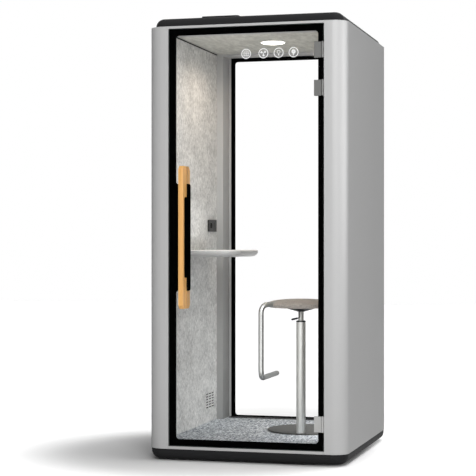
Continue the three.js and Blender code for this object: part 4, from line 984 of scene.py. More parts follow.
class POD_OT_finishes(bpy.types.Operator):
    """Make every material of the pod."""

    bl_idname = "pod.finishes"
    bl_label = "Finishes"

    def execute(self, context):
        """Builds the materials that the other operators ask for by name."""
        look = context.scene.pod_colours
        self.coats(look)
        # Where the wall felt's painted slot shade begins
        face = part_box("felt_panel_right")[0].x
        needled_felt("needled_felt_wall", look.felt_dark, look.felt_light, FELT_TUFT, face)
        needled_felt("needled_felt_ceiling", look.ceiling_dark, look.ceiling_light, CEILING_TUFT)
        loop_carpet(look)
        # Oiled oak of the handles: honey-coloured, grain along the grip
        grained_wood("oiled_oak", look.oak_dark, look.oak_light, GRAIN_LINE, GRAIN_BAND, gloss=0.42)
        # Birch plywood of the decks: pale, with a long faint figure
        grained_wood("birch_plywood", linear(PLY_DARK), linear(PLY_LIGHT), PLY_LINE, PLY_BAND, gloss=0.6)
        brushed_steel("brushed_stainless_steel", look.steel, gloss=(0.50, 0.62))
        # Drawn tube of the footrest: smoother and darker at its sides
        brushed_steel("drawn_stainless_tube", look.tube, gloss=(0.28, 0.36), rim=0.35)
        # One hinge steel in two tones: the lowest hinge painted lighter as a reflection of the floor, the
        # upper ones painted darker as shade
        brushed_steel("satin_ground_steel", look.hinge_low_painted_reflection, gloss=(0.50, 0.60))
        brushed_steel("bead_blasted_steel", look.hinge, gloss=(0.50, 0.60))
        toughened_glass(look)
        woven_wool(look)
        opal_acrylic(look)
        studio_floor()
        return {"FINISHED"}

    def coats(self, look):
        """The painted, moulded, enamelled and rubber skins."""
        # Polyester powder coat: satin, faintly metallic, with a slight orange peel drawn at 2.2 mm
        coated(
            "powder_coated_aluminium", look.silver, COAT_PEEL,
            spread=0.03, gloss=(0.42, 0.48), relief=0.00003, specular=0.0, metallic=0.12,
        )
        # Vacuum-formed ABS: near black, with a fine spark texture drawn at 1.6 mm
        coated(
            "moulded_abs_black", look.abs_black, SPARK_TEXTURE,
            spread=0.12, gloss=(0.50, 0.60), relief=0.00005, specular=0.03,
        )
        # Extruded EPDM: matt black with a dusty surface
        coated(
            "extruded_epdm_rubber", look.black, SPARK_TEXTURE,
            spread=0.2, gloss=(0.7, 0.85), relief=0.00005,
        )
        # Injection-moulded nylon: black, finely etched
        coated(
            "moulded_nylon_black", look.black, SPARK_TEXTURE,
            spread=0.2, gloss=(0.45, 0.6), relief=0.00004, specular=0.2,
        )
        # Powder-coated steel, black, fine texture
        coated(
            "powder_coated_steel_black", look.black, COAT_PEEL,
            spread=0.15, gloss=(0.45, 0.6), relief=0.00004, specular=0.25,
        )
        # Powder-coated steel, bronze grey, softly matt
        coated(
            "powder_coated_steel_bronze", look.bronze, COAT_PEEL,
            spread=0.08, gloss=(0.55, 0.68), relief=0.00004, specular=0.1,
        )
        # High-pressure laminate: off-white, softly matt; its faces that don't look up are painted greyer as
        # shade
        coated(
            "matt_laminate", look.laminate, SPARK_TEXTURE,
            spread=0.015, gloss=(0.42, 0.52), relief=0.00002, edge=look.table_painted_shade,
        )
        # Injection-moulded polycarbonate of the socket box: dark grey, eroded surface
        coated(
            "moulded_polycarbonate_grey", look.dark_plastic, SPARK_TEXTURE,
            spread=0.08, gloss=(0.45, 0.6), relief=0.00004, specular=0.25,
        )
        # Stove-enamelled steel of the light's ring: white and smooth, with a low gloss
        coated(
            "enamelled_steel_white", look.print_white, SPARK_TEXTURE,
            spread=0.015, gloss=(0.3, 0.4), relief=0.00002,
        )
        # Fired ceramic enamel on glass, dead black behind the pane
        coated(
            "fired_enamel_black", look.print_black, SPARK_TEXTURE,
            spread=0.2, gloss=(0.5, 0.6), relief=0.00001, specular=0.0,
        )
        # Fired ceramic enamel, white, with a faint glow of painted light
        coated(
            "fired_enamel_white", look.print_white, SPARK_TEXTURE,
            spread=0.02, gloss=(0.5, 0.6), relief=0.00001, glow=0.25,
        )
        # Rock wool filling inside the walls, near black as painted shade where it shows through the air slots
        coated(
            "fleece_faced_rock_wool", linear(SLOT_SHADE_BLACK), WOOL_CLUMP,
            spread=0.3, gloss=(0.9, 0.98), relief=0.003, specular=0.0,
        )


class POD_OT_stage(bpy.types.Operator):
    """Set up the camera, the lights, the white surround and the floor."""

    bl_idname = "pod.stage"
    bl_label = "Stage"

    def execute(self, context):
        """Makes the camera first, then the lights, the world and the floor."""
        scene = context.scene
        stage = scene.pod_stage
        scene.view_settings.view_transform = "Standard"
        self.add_camera(scene, stage)
        for name, (power, size, spot, target, unseen) in PANELS.items():
            self.add_panel(name, getattr(stage, power), size, spot, target, unseen)
        self.keep_off(bpy.data.objects["wall_fill"], WALL_FILL_SHADED)
        self.add_lamps(stage)
        self.add_world(scene, stage)
        self.add_floor()
        return {"FINISHED"}

    def add_camera(self, scene, stage):
        """A level camera with a long lens, in front and to the right of the pod."""
        lens = bpy.data.cameras.new("camera")
        lens.sensor_width = 36
        lens.lens = stage.focal_length
        lens.shift_y = stage.shift
        camera = link("camera", lens)
        camera.location = stage.camera_place
        camera.rotation_euler = (math.pi / 2, 0, stage.camera_turn)
        scene.camera = camera

    def add_panel(self, name, power, size, spot, target, unseen):
        """A flat light that faces a point; neither the camera nor the other kind of ray named sees it."""
        light = bpy.data.lights.new(name, "AREA")
        light.shape = "RECTANGLE"
        light.size = size[0]
        light.size_y = size[1]
        light.energy = power
        panel = link(name, light)
        panel.location = spot
        panel.rotation_euler = (Vector(target) - panel.location).to_track_quat("-Z", "Y").to_euler()
        panel.visible_camera = False
        setattr(panel, f"visible_{unseen}", False)

    def keep_off(self, light, nodes):
        """Keeps a light off some CAD nodes, which what it stands for would not reach."""
        shaded = bpy.data.collections.new(f"{light.name}_shaded")
        for node in nodes:
            shaded.objects.link(frame["nodes"][node])
        for member in shaded.collection_objects:
            member.light_linking.link_state = "EXCLUDE"
        light.light_linking.receiver_collection = shaded

    def add_lamps(self, stage):
        """The wide rear light from above, and the warm light under the ceiling."""
        high = bpy.data.lights.new("rear_light", "SUN")
        high.energy = stage.sun
        high.angle = REAR_LIGHT_SPREAD
        rear = link("rear_light", high)
        rear.rotation_euler = Vector(REAR_LIGHT_WAY).to_track_quat("-Z", "Y").to_euler()
        warm = bpy.data.lights.new("ceiling_light", "SPOT")
        warm.energy = stage.lamp
        warm.color = LAMP_COLOUR
        warm.spot_size = LAMP_SPREAD
        warm.spot_blend = LAMP_BLEND
        warm.shadow_soft_size = LAMP_RADIUS
        lamp = link("ceiling_light", warm)
        lamp.location = middle_of("light_diffuser")
        lamp.location.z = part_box("light_diffuser")[0].z - LAMP_DROP

    def add_world(self, scene, stage):
        """White where it is seen or mirrored, and otherwise a softer light that is weaker from the left."""
        world = bpy.data.worlds.new("white_surround")
        world.use_nodes = True
        tree = world.node_tree
        tree.nodes.clear()
        coordinates = add(tree, "ShaderNodeTexCoord")
        way = add(tree, "ShaderNodeSeparateXYZ", {0: coordinates.outputs["Generated"]})
        turn = {"Value": way.outputs["X"], "From Min": SKY_TURN[0], "From Max": SKY_TURN[1]}
        soft = add(tree, "ShaderNodeMapRange", {**turn, "To Min": stage.sky_left, "To Max": stage.sky})
        level = add(tree, "ShaderNodeMapRange", {"Value": seen_rays(tree), "To Min": soft, "To Max": 1.0})
        sky = add(tree, "ShaderNodeBackground", {"Color": (1, 1, 1, 1), "Strength": level})
        add(tree, "ShaderNodeOutputWorld", {"Surface": sky})
        scene.world = world

    def add_floor(self):
        """A wide plain floor."""
        mesh = bpy.data.meshes.new("studio_floor")
        corners = rectangle(-FLOOR_HALF, FLOOR_HALF, -FLOOR_HALF, FLOOR_HALF)
        mesh.from_pydata([(*corner, 0) for corner in corners], [], [(0, 1, 2, 3)])
        mesh.materials.append(bpy.data.materials["seamless_studio_floor"])
        link("studio_floor", mesh)


class POD_OT_shell(bpy.types.Operator):
    """Dress the plinth, the walls, the rails and the roof."""

    bl_idname = "pod.shell"
    bl_label = "Shell"

    def execute(self, context):
        """The outer skins keep their CAD shape, with softened edges."""
        rails = ("front_header", "rear_header", "front_sill", "rear_sill")
        dress("powder_coated_aluminium", [f"corner_post_{corner}" for corner in CORNERS], "post")
        dress("powder_coated_aluminium", [f"side_panel_{side}" for side in SIDES], "skin")
        dress("powder_coated_aluminium", rails, "rail")
        dress("extruded_epdm_rubber", [f"leveling_foot_{corner}" for corner in CORNERS], "foot")
        dress("fleece_faced_rock_wool", [f"wall_core_{side}" for side in SIDES])
        dress("moulded_abs_black", ("base_plinth", "roof_cap"), "base")
        dress("moulded_abs_black", ("vent_hood",), "hood")
        dress("birch_plywood", ("floor_deck", "roof_deck"))
        return {"FINISHED"}


class POD_OT_lining(bpy.types.Operator):
    """Dress the felt lining of the walls and the ceiling."""

    bl_idname = "pod.lining"
    bl_label = "Lining"

    def execute(self, context):
        """The felt keeps its CAD shape, with edges as soft as cut felt has."""
        dress("needled_felt_wall", [f"felt_panel_{side}" for side in SIDES], "felt", flatten=False)
        dress("needled_felt_ceiling", ("ceiling_panel",), "ceiling", segments=2)
        self.joints()
        return {"FINISHED"}

    def joints(self):
        """A dark bead in the corner between the ceiling and each wall, with a hollow face: painted shadow
        along that gap.
        """
        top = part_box("ceiling_panel")[0].z
        made = bmesh.new()
        for side, sign in zip(SIDES, (1, -1)):
            low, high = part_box(f"felt_panel_{side}")
            face = high.x if sign > 0 else low.x
            corner = [(face, top), (face + sign * SHADOW_BEAD, top)]
            for step in range(1, JOINT_STEPS):
                turn = step / JOINT_STEPS * math.pi / 2
                across = face + sign * SHADOW_BEAD * (1 - JOINT_HOLLOW * math.sin(turn))
                corner.append((across, top - SHADOW_BEAD * (1 - JOINT_HOLLOW * math.cos(turn))))
            corner.append((face, top - SHADOW_BEAD))
            front, rear = ([made.verts.new((x, y, z)) for x, z in corner] for y in (low.y, high.y))
            for k in range(len(corner)):
                after = (k + 1) % len(corner)
                made.faces.new([front[k], front[after], rear[after], rear[k]])
            made.faces.new(front)
            made.faces.new(rear)
        mesh = closed_mesh(made, "ceiling_joints")
        place("ceiling_joints", mesh, "ceiling_panel", "rubber", "extruded_epdm_rubber")


class POD_OT_carpet(bpy.types.Operator):
    """Lay the loop-pile carpet."""

    bl_idname = "pod.carpet"
    bl_label = "Carpet"

    def execute(self, context):
        """A fine grid on the floor's outline, whose loops are raised by a Geometry Nodes tree."""
        sizes = context.scene.pod_sizes
        low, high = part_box("carpet")
        sheet = self.outline_mesh(low, high, sizes.pile_step)
        holder = link("carpet_pile", sheet)
        run_tree(
            holder,
            self.pile_tree(),
            Relief=sizes.pile,
            Loop=sizes.pile_step * LOOP_STEPS,
            Seed=float(sizes.pile_seed),
            Carpet=bpy.data.materials["tufted_loop_carpet"],
        )
        mesh = plain_mesh(holder, "carpet_pile")
        mesh.shade_smooth()
        carpet = place("carpet_pile", mesh, "carpet", "carpet", stands_in=True)
        return {"FINISHED"}

    def outline_mesh(self, low, high, step):
        """A closed slab on the floor's outline, which steps in between the posts; its top is a grid."""
        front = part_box("corner_post_front_left")[1]
        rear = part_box("corner_post_rear_right")[0]
        across = self.stops((low.x, front.x + CARPET_GAP, rear.x - CARPET_GAP, high.x), step)
        along = self.stops((low.y, front.y + CARPET_GAP, rear.y - CARPET_GAP, high.y), step)
        made = bmesh.new()
        grid = {}
        for i, x in enumerate(across):
            for j, y in enumerate(along):
                beside = x < front.x or x > rear.x
                behind = y < front.y or y > rear.y
                if not (beside and behind):
                    grid[i, j] = made.verts.new((x, y, high.z))
        for i in range(len(across) - 1):
            for j in range(len(along) - 1):
                corners = [(i, j), (i + 1, j), (i + 1, j + 1), (i, j + 1)]
                if all(corner in grid for corner in corners):
                    made.faces.new([grid[corner] for corner in corners])
        rim = [edge for edge in made.edges if edge.is_boundary]
        sides = bmesh.ops.extrude_edge_only(made, edges=rim)["geom"]
        for item in sides:
            if isinstance(item, bmesh.types.BMVert):
                item.co.z = low.z
        bottom = [item for item in sides if isinstance(item, bmesh.types.BMEdge) and item.is_boundary]
        bmesh.ops.contextual_create(made, geom=bottom)
        return closed_mesh(made, "carpet_slab")

    def stops(self, breaks, step):
        """Even steps between the breaks, which are all kept."""
        found = [breaks[0]]
        for start, end in zip(breaks, breaks[1:]):
            count = max(1, round((end - start) / step))
            found += [start + (end - start) * (k + 1) / count for k in range(count)]
        return found

    def pile_tree(self):
        """Raises and lowers the points of the upper face by a fixed noise."""
        inputs = {"Relief": "Float", "Loop": "Float", "Seed": "Float", "Carpet": "Material"}
        tree, source = geometry_tree("loop_pile", **inputs)
        normal = add(tree, "GeometryNodeInputNormal")
        parts = add(tree, "ShaderNodeSeparateXYZ", {0: normal})
        level = {0: parts.outputs["Z"], 1: 0.3}
        upper = add(tree, "FunctionNodeCompare", level, data_type="FLOAT", operation="GREATER_THAN")
        scale = add(tree, "ShaderNodeMath", {0: 1.0, 1: source.outputs["Loop"]}, operation="DIVIDE")
        loops = {"W": source.outputs["Seed"], "Scale": scale, "Detail": 2.0}
        noise = add(tree, "ShaderNodeTexNoise", loops, noise_dimensions="4D")
        middle = add(tree, "ShaderNodeMath", {0: noise, 1: PILE_MIDDLE}, operation="SUBTRACT")
        rise = add(tree, "ShaderNodeMath", {0: middle, 1: source.outputs["Relief"]}, operation="MULTIPLY")
        offset = add(tree, "ShaderNodeCombineXYZ", {"Z": rise})
        slab = source.outputs["Geometry"]
        moved = add(tree, "GeometryNodeSetPosition", {"Geometry": slab, "Selection": upper, "Offset": offset})
        whole = add(tree, "GeometryNodeRealizeInstances", {0: moved})
        finish = {"Geometry": whole, "Material": source.outputs["Carpet"]}
        done = add(tree, "GeometryNodeSetMaterial", finish)
        add(tree, "NodeGroupOutput", {"Geometry": done})
        return tree


class POD_OT_glazing(bpy.types.Operator):
    """Dress the door and the rear pane, with their printed borders, beads and rubber stop."""

    bl_idname = "pod.glazing"
    bl_label = "Glazing"

    def execute(self, context):
        """The panes keep their CAD shape; the borders are thin prints on their inner faces."""
        sizes = context.scene.pod_sizes
        dress("toughened_float_glass", ("door_glass", "rear_glass"), "pane", segments=2)
        dress("extruded_epdm_rubber", ("door_seal",), "seal", segments=2, flatten=False)
        self.border("door_print", "door_glass", self.door_view(sizes))
        self.border("rear_print", "rear_glass", self.rear_view(sizes))
        self.rear_beads()
        return {"FINISHED"}

    def border(self, name, pane, view):
        """A print on a pane's inner face, from just inside its edges in to the view."""
        low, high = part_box(pane)
        inset = PRINT_INSET
        edge = rectangle(low.x + inset, high.x - inset, low.z + inset, high.z - inset)
        mesh = print_mesh(name, [edge, rounded(view)], inner_face(pane))
        place(name, mesh, pane, "black_base", "fired_enamel_black")

    def door_view(self, sizes):
        """The door's view, with a bay cut in it by the wider field behind the handle."""
        low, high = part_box("door_glass")
        left = low.x + sizes.border
        right = high.x - sizes.border_right
        bottom = low.z + sizes.border_bottom
        top = high.z - sizes.border_top
        reach = left + sizes.patch_reach
        field = reversed(rectangle(left, reach, sizes.patch_low, sizes.patch_high))
        view = [(*corner, sizes.border_corner) for corner in rectangle(left, right, bottom, top)]
        return view + [(*corner, sizes.patch_corner) for corner in field]

    def rear_view(self, sizes):
        """The rear pane's plain view."""
        low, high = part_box("rear_glass")
        width = sizes.border
        corners = rectangle(low.x + width, high.x - width, low.z + width, high.z - width)
        return [(*corner, sizes.border_corner) for corner in corners]

    def rear_beads(self):
        """Square beads between the rear pane and its posts, and a rubber strip on the floor at its foot."""
        low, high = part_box("rear_glass")
        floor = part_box("carpet")[1].z
        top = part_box("rear_header")[0].z - BEAD_TOP_GAP
        width, depth = GLAZING_BEAD
        back = low.y - BEAD_GLASS_GAP
        beads = [
            (Vector((low.x, back - depth, floor)), Vector((low.x + width, back, top))),
            (Vector((high.x - width, back - depth, floor)), Vector((high.x, back, top))),
        ]
        mesh = blocks_mesh("glazing_beads", beads, "bead")
        place("glazing_beads", mesh, "rear_glass", "silver_paint", "powder_coated_aluminium")
        reach, thickness = FOOT_STRIP
        start = Vector((low.x + width, back - reach, floor))
        end = Vector((high.x - width, back, floor + thickness))
        mesh = blocks_mesh("foot_strip", [(start, end)], "strip")
        place("foot_strip", mesh, "rear_glass", "rubber", "extruded_epdm_rubber")


class POD_OT_pictograms(bpy.types.Operator):
    """Print the four round pictograms at the top of the door."""

    bl_idname = "pod.pictograms"
    bl_label = "Pictograms"

    def execute(self, context):
        """Rings with a globe, a fan, a lamp and a bulb, as thin white prints on the door's inner face."""
        sizes = context.scene.pod_sizes
        outer = sizes.ring / 2
        inner = outer - sizes.ring_line
        signs = {"globe": self.globe, "fan": self.fan, "lamp": self.lamp, "bulb": self.bulb}
        for across, (sign, draw) in zip(ICON_PLACES, signs.items()):
            name = f"pictogram_{sign}"
            outlines = [circle(0, outer), circle(0, inner), *draw(inner)]
            placed = [[(across + x, ICON_LEVEL + z) for x, z in outline] for outline in outlines]
            mesh = print_mesh(name, placed, inner_face("door_glass"))
            # The white print glows faintly: painted light
            place(name, mesh, "door_glass", "white_paint", "fired_enamel_white")
        return {"FINISHED"}

    def globe(self, room):
        """A disc with the cells of a globe's grid left open."""
        radius = room * 0.84
        line = GLOBE_LINE
        outlines = [circle(0, radius)]
        for west, east in zip(GLOBE_BANDS, GLOBE_BANDS[1:]):
            for south, north in zip(GLOBE_ROWS, GLOBE_ROWS[1:]):
                cell = []
                edge = self.cell_edge(west + line, east - line, south + line, north - line)
                for longitude, latitude in edge:
                    turn = math.radians(longitude)
                    tilt = math.radians(latitude)
                    cell.append((radius * math.cos(tilt) * math.sin(turn), radius * math.sin(tilt)))
                outlines.append(cell)
        return outlines

    def cell_edge(self, west, east, south, north):
        """The border of one grid cell in degrees, with a few points on each side."""
        shares = (0, 0.25, 0.5, 0.75)
        lower = [(west + (east - west) * s, south) for s in shares]
        right = [(east, south + (north - south) * s) for s in shares]
        upper = [(east + (west - east) * s, north) for s in shares]
        left = [(west, north + (south - north) * s) for s in shares]
        return lower + right + upper + left

    def fan(self, room):
        """A hub with three blades."""
        outlines = [circle(0, room * 0.14, HUB_STEPS)]
        for blade in range(3):
            turn = math.radians(30 + 120 * blade)
            ahead = Vector((math.cos(turn), math.sin(turn)))
            beside = Vector((-ahead.y, ahead.x))
            shape = []
            for step in range(BLADE_STEPS):
                sweep = 2 * math.pi * step / BLADE_STEPS
                along = room * (0.47 + 0.29 * math.cos(sweep))
                aside = room * (0.32 * math.sin(sweep) * (0.75 + 0.35 * math.cos(sweep)) + 0.05)
                shape.append(tuple(ahead * along + beside * aside))
            outlines.append(shape)
        return outlines

    def lamp(self, room):
        """An open bulb over a short stem."""
        rise = room * 0.20
        glass = [circle(rise, room * 0.42, BULB_STEPS), circle(rise, room * 0.30, BULB_STEPS)]
        return glass + [self.bar(room, -0.38, 0.34, 0.26), self.bar(room, -0.62, 0.24, 0.14)]

    def bulb(self, room):
        """A full bulb with a small open middle over its cap."""
        rise = room * 0.16
        glass = [circle(rise, room * 0.50, BULB_STEPS), circle(rise, room * 0.10, CORE_STEPS)]
        return glass + [self.bar(room, -0.46, 0.30, 0.16), self.bar(room, -0.66, 0.22, 0.14)]

    def bar(self, room, up, width, height):
        """A small upright rectangle round its middle, its place and size as shares of the room."""
        half = room * width / 2
        tall = room * height / 2
        return rectangle(-half, half, room * up - tall, room * up + tall)


class POD_OT_door_fittings(bpy.types.Operator):
    """Dress the handles and the hinges, and put the hinge screws in."""

    bl_idname = "pod.door_fittings"
    bl_label = "Door fittings"

    def execute(self, context):
        """Handles and hinges keep their CAD shape; the screws come from one Geometry Nodes tree."""
        head = context.scene.pod_sizes.screw_head
        dress("oiled_oak", ("handle_outer", "handle_inner"), "handle")
        dress("brushed_stainless_steel", ("handle_bolt_upper", "handle_bolt_lower"))
        on_plates = []
        on_leaves = []
        for level in HINGES:
            # The lowest hinge takes the steel painted lighter as reflection, the others the one painted
            # darker as shade
            steel = "satin_ground_steel" if level == "bottom" else "bead_blasted_steel"
            inner = f"hinge_inner_plate_{level}"
            leaf = f"hinge_leaf_{level}"
            dress(steel, (f"hinge_outer_plate_{level}", inner), "hinge_plate")
            dress(steel, (leaf,), "hinge_leaf")
            dress(steel, (f"hinge_pin_{level}",), "hinge_pin", segments=2)
            middle = middle_of(inner)
            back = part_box(inner)[1].y
            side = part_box(leaf)[1] - Vector((LEAF_SCREW_SINK, LEAF_SCREW_DEPTH, 0))
            for way in (-1, 1):
                on_plates.append((middle.x, back, middle.z + way * PLATE_SCREW_RISE))
                on_leaves.append((side.x, side.y, middle.z + way * LEAF_SCREW_RISE))
        tree = self.screw_tree()
        backwards = (-math.pi / 2, 0, 0)
        inwards = (0, -math.pi / 2, 0)
        self.screws("hinge_plate_screws", tree, on_plates, backwards, head, "hinge_inner_plate_top")
        self.screws("hinge_leaf_screws", tree, on_leaves, inwards, head, "hinge_leaf_top")
        return {"FINISHED"}

    def screws(self, name, tree, points, turn, head, carrier):
        """One plain mesh of screw heads, facing the way that the turn gives."""
        mesh = bpy.data.meshes.new(name)
        mesh.from_pydata(points, [], [])
        holder = link(name, mesh)
        steel = bpy.data.materials["brushed_stainless_steel"]
        run_tree(holder, tree, Radius=head, Height=SCREW_HEIGHT, Turn=turn, Metal=steel)
        place(name, plain_mesh(holder, name), carrier, "satin_steel")

    def screw_tree(self):
        """A low screw head with a chamfered rim and a drive recess, on every point."""
        inputs = {"Radius": "Float", "Height": "Float", "Turn": "Vector", "Metal": "Material"}
        tree, source = geometry_tree("screw_heads", **inputs)
        size = {"Radius": source.outputs["Radius"], "Depth": source.outputs["Height"]}
        head = add(tree, "GeometryNodeMeshCylinder", {"Vertices": SCREW_SIDES, **size}, fill_type="NGON")
        top = {"Mesh": head.outputs["Mesh"], "Selection": head.outputs["Top"], "Offset Scale": SCREW_RIM}
        rim = add(tree, "GeometryNodeExtrudeMesh", top, mode="FACES")
        slope = {"Geometry": rim.outputs["Mesh"], "Selection": rim.outputs["Top"], "Scale": SCREW_CHAMFER}
        chamfer = add(tree, "GeometryNodeScaleElements", slope, domain="FACE")
        inset = {"Mesh": chamfer, "Selection": rim.outputs["Top"], "Offset Scale": 0.0}
        face = add(tree, "GeometryNodeExtrudeMesh", inset, mode="FACES")
        mouth = {"Geometry": face.outputs["Mesh"], "Selection": face.outputs["Top"], "Scale": SCREW_DRIVE}
        drive = add(tree, "GeometryNodeScaleElements", mouth, domain="FACE")
        floor = {"Mesh": drive, "Selection": face.outputs["Top"], "Offset Scale": SCREW_RECESS}
        recess = add(tree, "GeometryNodeExtrudeMesh", floor, mode="FACES")
        spots = {"Points": source.outputs["Geometry"], "Rotation": source.outputs["Turn"]}
        heads = add(tree, "GeometryNodeInstanceOnPoints", {**spots, "Instance": recess.outputs["Mesh"]})
        whole = add(tree, "GeometryNodeRealizeInstances", {0: heads})
        done = add(tree, "GeometryNodeSetMaterial", {"Geometry": whole, "Material": source.outputs["Metal"]})
        add(tree, "NodeGroupOutput", {"Geometry": done})
        return tree


class POD_OT_roof_fittings(bpy.types.Operator):
    """Make the ceiling light, and dress the fan under the hood."""

    bl_idname = "pod.roof_fittings"
    bl_label = "Light and fan"

    def execute(self, context):
        """The light's ring and cover are turned; the fan keeps its CAD shape."""
        self.ring()
        self.cover()
        dress("moulded_nylon_black", ("fan_frame",), "fan_frame", segments=2)
        dress("moulded_nylon_black", ("fan_rotor",), "fan_rotor", segments=2)
        return {"FINISHED"}

    def ring(self):
        """A flat flange under the ceiling with a sleeve up into it."""
        low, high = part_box("light_bezel")
        inner = radius_of("light_diffuser") + LIGHT_GAP
        outer = radius_of("light_bezel")
        sleeve = inner + LIGHT_SLEEVE
        flange = low.z + LIGHT_FLANGE
        corners = rectangle(inner, outer, low.z, flange)[:3] + rectangle(inner, sleeve, flange, high.z)[1:]
        profile = rounded([(*corner, edge) for corner, edge in zip(corners, LIGHT_EDGES)], steps=4)
        mesh = turned_mesh("light_ring", profile, middle_of("light_bezel"))
        place("light_ring", mesh, "light_bezel", "white_paint", "enamelled_steel_white", stands_in=True)

    def cover(self):
        """The opal cover, which bulges below the ring and laps over it."""
        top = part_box("light_diffuser")[1].z
        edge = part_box("light_bezel")[0].z - LIGHT_GAP
        rim = radius_of("light_diffuser")
        dome = [(0, top), (rim, top), (rim, edge)]
        for step in range(LIGHT_STEPS):
            turn = step / LIGHT_STEPS * math.pi / 2
            dome.append(((rim + LIGHT_LAP) * math.cos(turn), edge - LIGHT_DOME * math.sin(turn)))
        dome.append((0, edge - LIGHT_DOME))
        mesh = turned_mesh("light_cover", dome, middle_of("light_bezel"))
        place("light_cover", mesh, "light_diffuser", "opal", "opal_acrylic", stands_in=True)


class POD_OT_table(bpy.types.Operator):
    """Dress the table, and detail the power box."""

    bl_idname = "pod.table"
    bl_label = "Table and power box"

    def execute(self, context):
        """The table and the box keep their CAD shape; the socket gets its contacts and earth clips."""
        dress("matt_laminate", ("table_top",), "table")
        dress("powder_coated_steel_black", ("table_support",))
        dress("moulded_polycarbonate_grey", ("power_box",), "power_box")
        dress("moulded_polycarbonate_grey", ("light_switch",), "switch", segments=2)
        self.socket()
        return {"FINISHED"}

    def socket(self):
        """Two contact holes and two earth clips on the floor of the round recess."""
        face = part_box("power_box")[1].x
        middle = middle_of("power_box")
        centre = Vector((face - SOCKET_RECESS, middle.y - SOCKET_ASIDE, middle.z))
        wide, narrow = CONTACT_RADII
        holes = bmesh.new()
        for side in (-1, 1):
            spot = Matrix.Translation(centre + Vector((CONTACT_RISE, side * CONTACT_ASIDE, 0)))
            bmesh.ops.create_cone(
                holes,
                cap_ends=True,
                segments=CONTACT_SIDES,
                radius1=wide,
                radius2=narrow,
                depth=CONTACT_DEPTH,
                matrix=spot @ Matrix.Rotation(math.pi / 2, 4, "Y"),
            )
        mesh = closed_mesh(holes, "socket_contacts")
        place("socket_contacts", mesh, "power_box", "black_plastic", "moulded_nylon_black")
        spots = [centre + Vector((CLIP_RISE, 0, side * CLIP_UP)) for side in (-1, 1)]
        clips = [(spot - CLIP_HALF, spot + CLIP_HALF) for spot in spots]
        mesh = blocks_mesh("socket_earth_clips", clips, "clip")
        place("socket_earth_clips", mesh, "power_box", "satin_steel", "brushed_stainless_steel")


class POD_OT_stool(bpy.types.Operator):
    """Make the stool's plate, column, lift and footrest."""

    bl_idname = "pod.stool"
    bl_label = "Stool"

    def execute(self, context):
        """Round parts are turned and tubes swept, where the CAD frame has coarse facets."""
        bronze = ("bronze_paint", "powder_coated_steel_bronze")
        steel = ("satin_steel", "brushed_stainless_steel")
        self.turned("stool_plate", "stool_base_plate", bronze, "plate", PLATE_SIDES)
        self.turned("stool_tube", "stool_column", steel, "column", TURNED_SIDES, COLUMN_WALL)
        self.turned("lift_bar", "lift_rod", steel, "rod", ROD_SIDES)
        dress("moulded_nylon_black", ("stool_collar",), "collar", segments=2)
        dress("moulded_nylon_black", ("seat_carrier",), "carrier", segments=2)
        rest = tube_mesh("footrest_tube", footrest_route(), FOOTREST_RADIUS, FOOTREST_DOME)
        place("footrest_tube", rest, "footrest", "satin_steel", "drawn_stainless_tube", stands_in=True)
        self.lever()
        return {"FINISHED"}

    def turned(self, name, node, finish, edge, sides, wall=0):
        """A round plate, rod or tube in the place of a CAD node."""
        low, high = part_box(node)
        profile = bar_profile(radius_of(node), wall, low.z, high.z, EDGE[edge])
        mesh = turned_mesh(name, profile, middle_of(node), sides)
        place(name, mesh, node, *finish, stands_in=True)

    def lever(self):
        """The bent wire that works the lift, with its grip."""
        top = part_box("lift_lever")[1].z
        axis = middle_of("lift_rod")
        head = Vector((axis.x + LEVER_HEAD[0], axis.y + LEVER_HEAD[1], top - LEVER_HEAD_GAP))
        elbow = head - Vector((0, 0, LEVER_DROP - LEVER_HEAD_GAP))
        end = elbow + LEVER_REACH
        wire = tube_mesh("lift_wire", bent_path([head, elbow, end], LEVER_BEND), LEVER_RADIUS, LEVER_RADIUS)
        back = (elbow - end).normalized()
        hold = [end + back * LEVER_GRIP_LENGTH, end - back * LEVER_GRIP_RADIUS]
        grip = tube_mesh("lift_grip", hold, LEVER_GRIP_RADIUS, LEVER_GRIP_DOME)
        place("lift_wire", wire, "lift_lever", "black_steel", "powder_coated_steel_black", stands_in=True)
        place("lift_grip", grip, "lift_lever", "black_steel", "moulded_nylon_black")


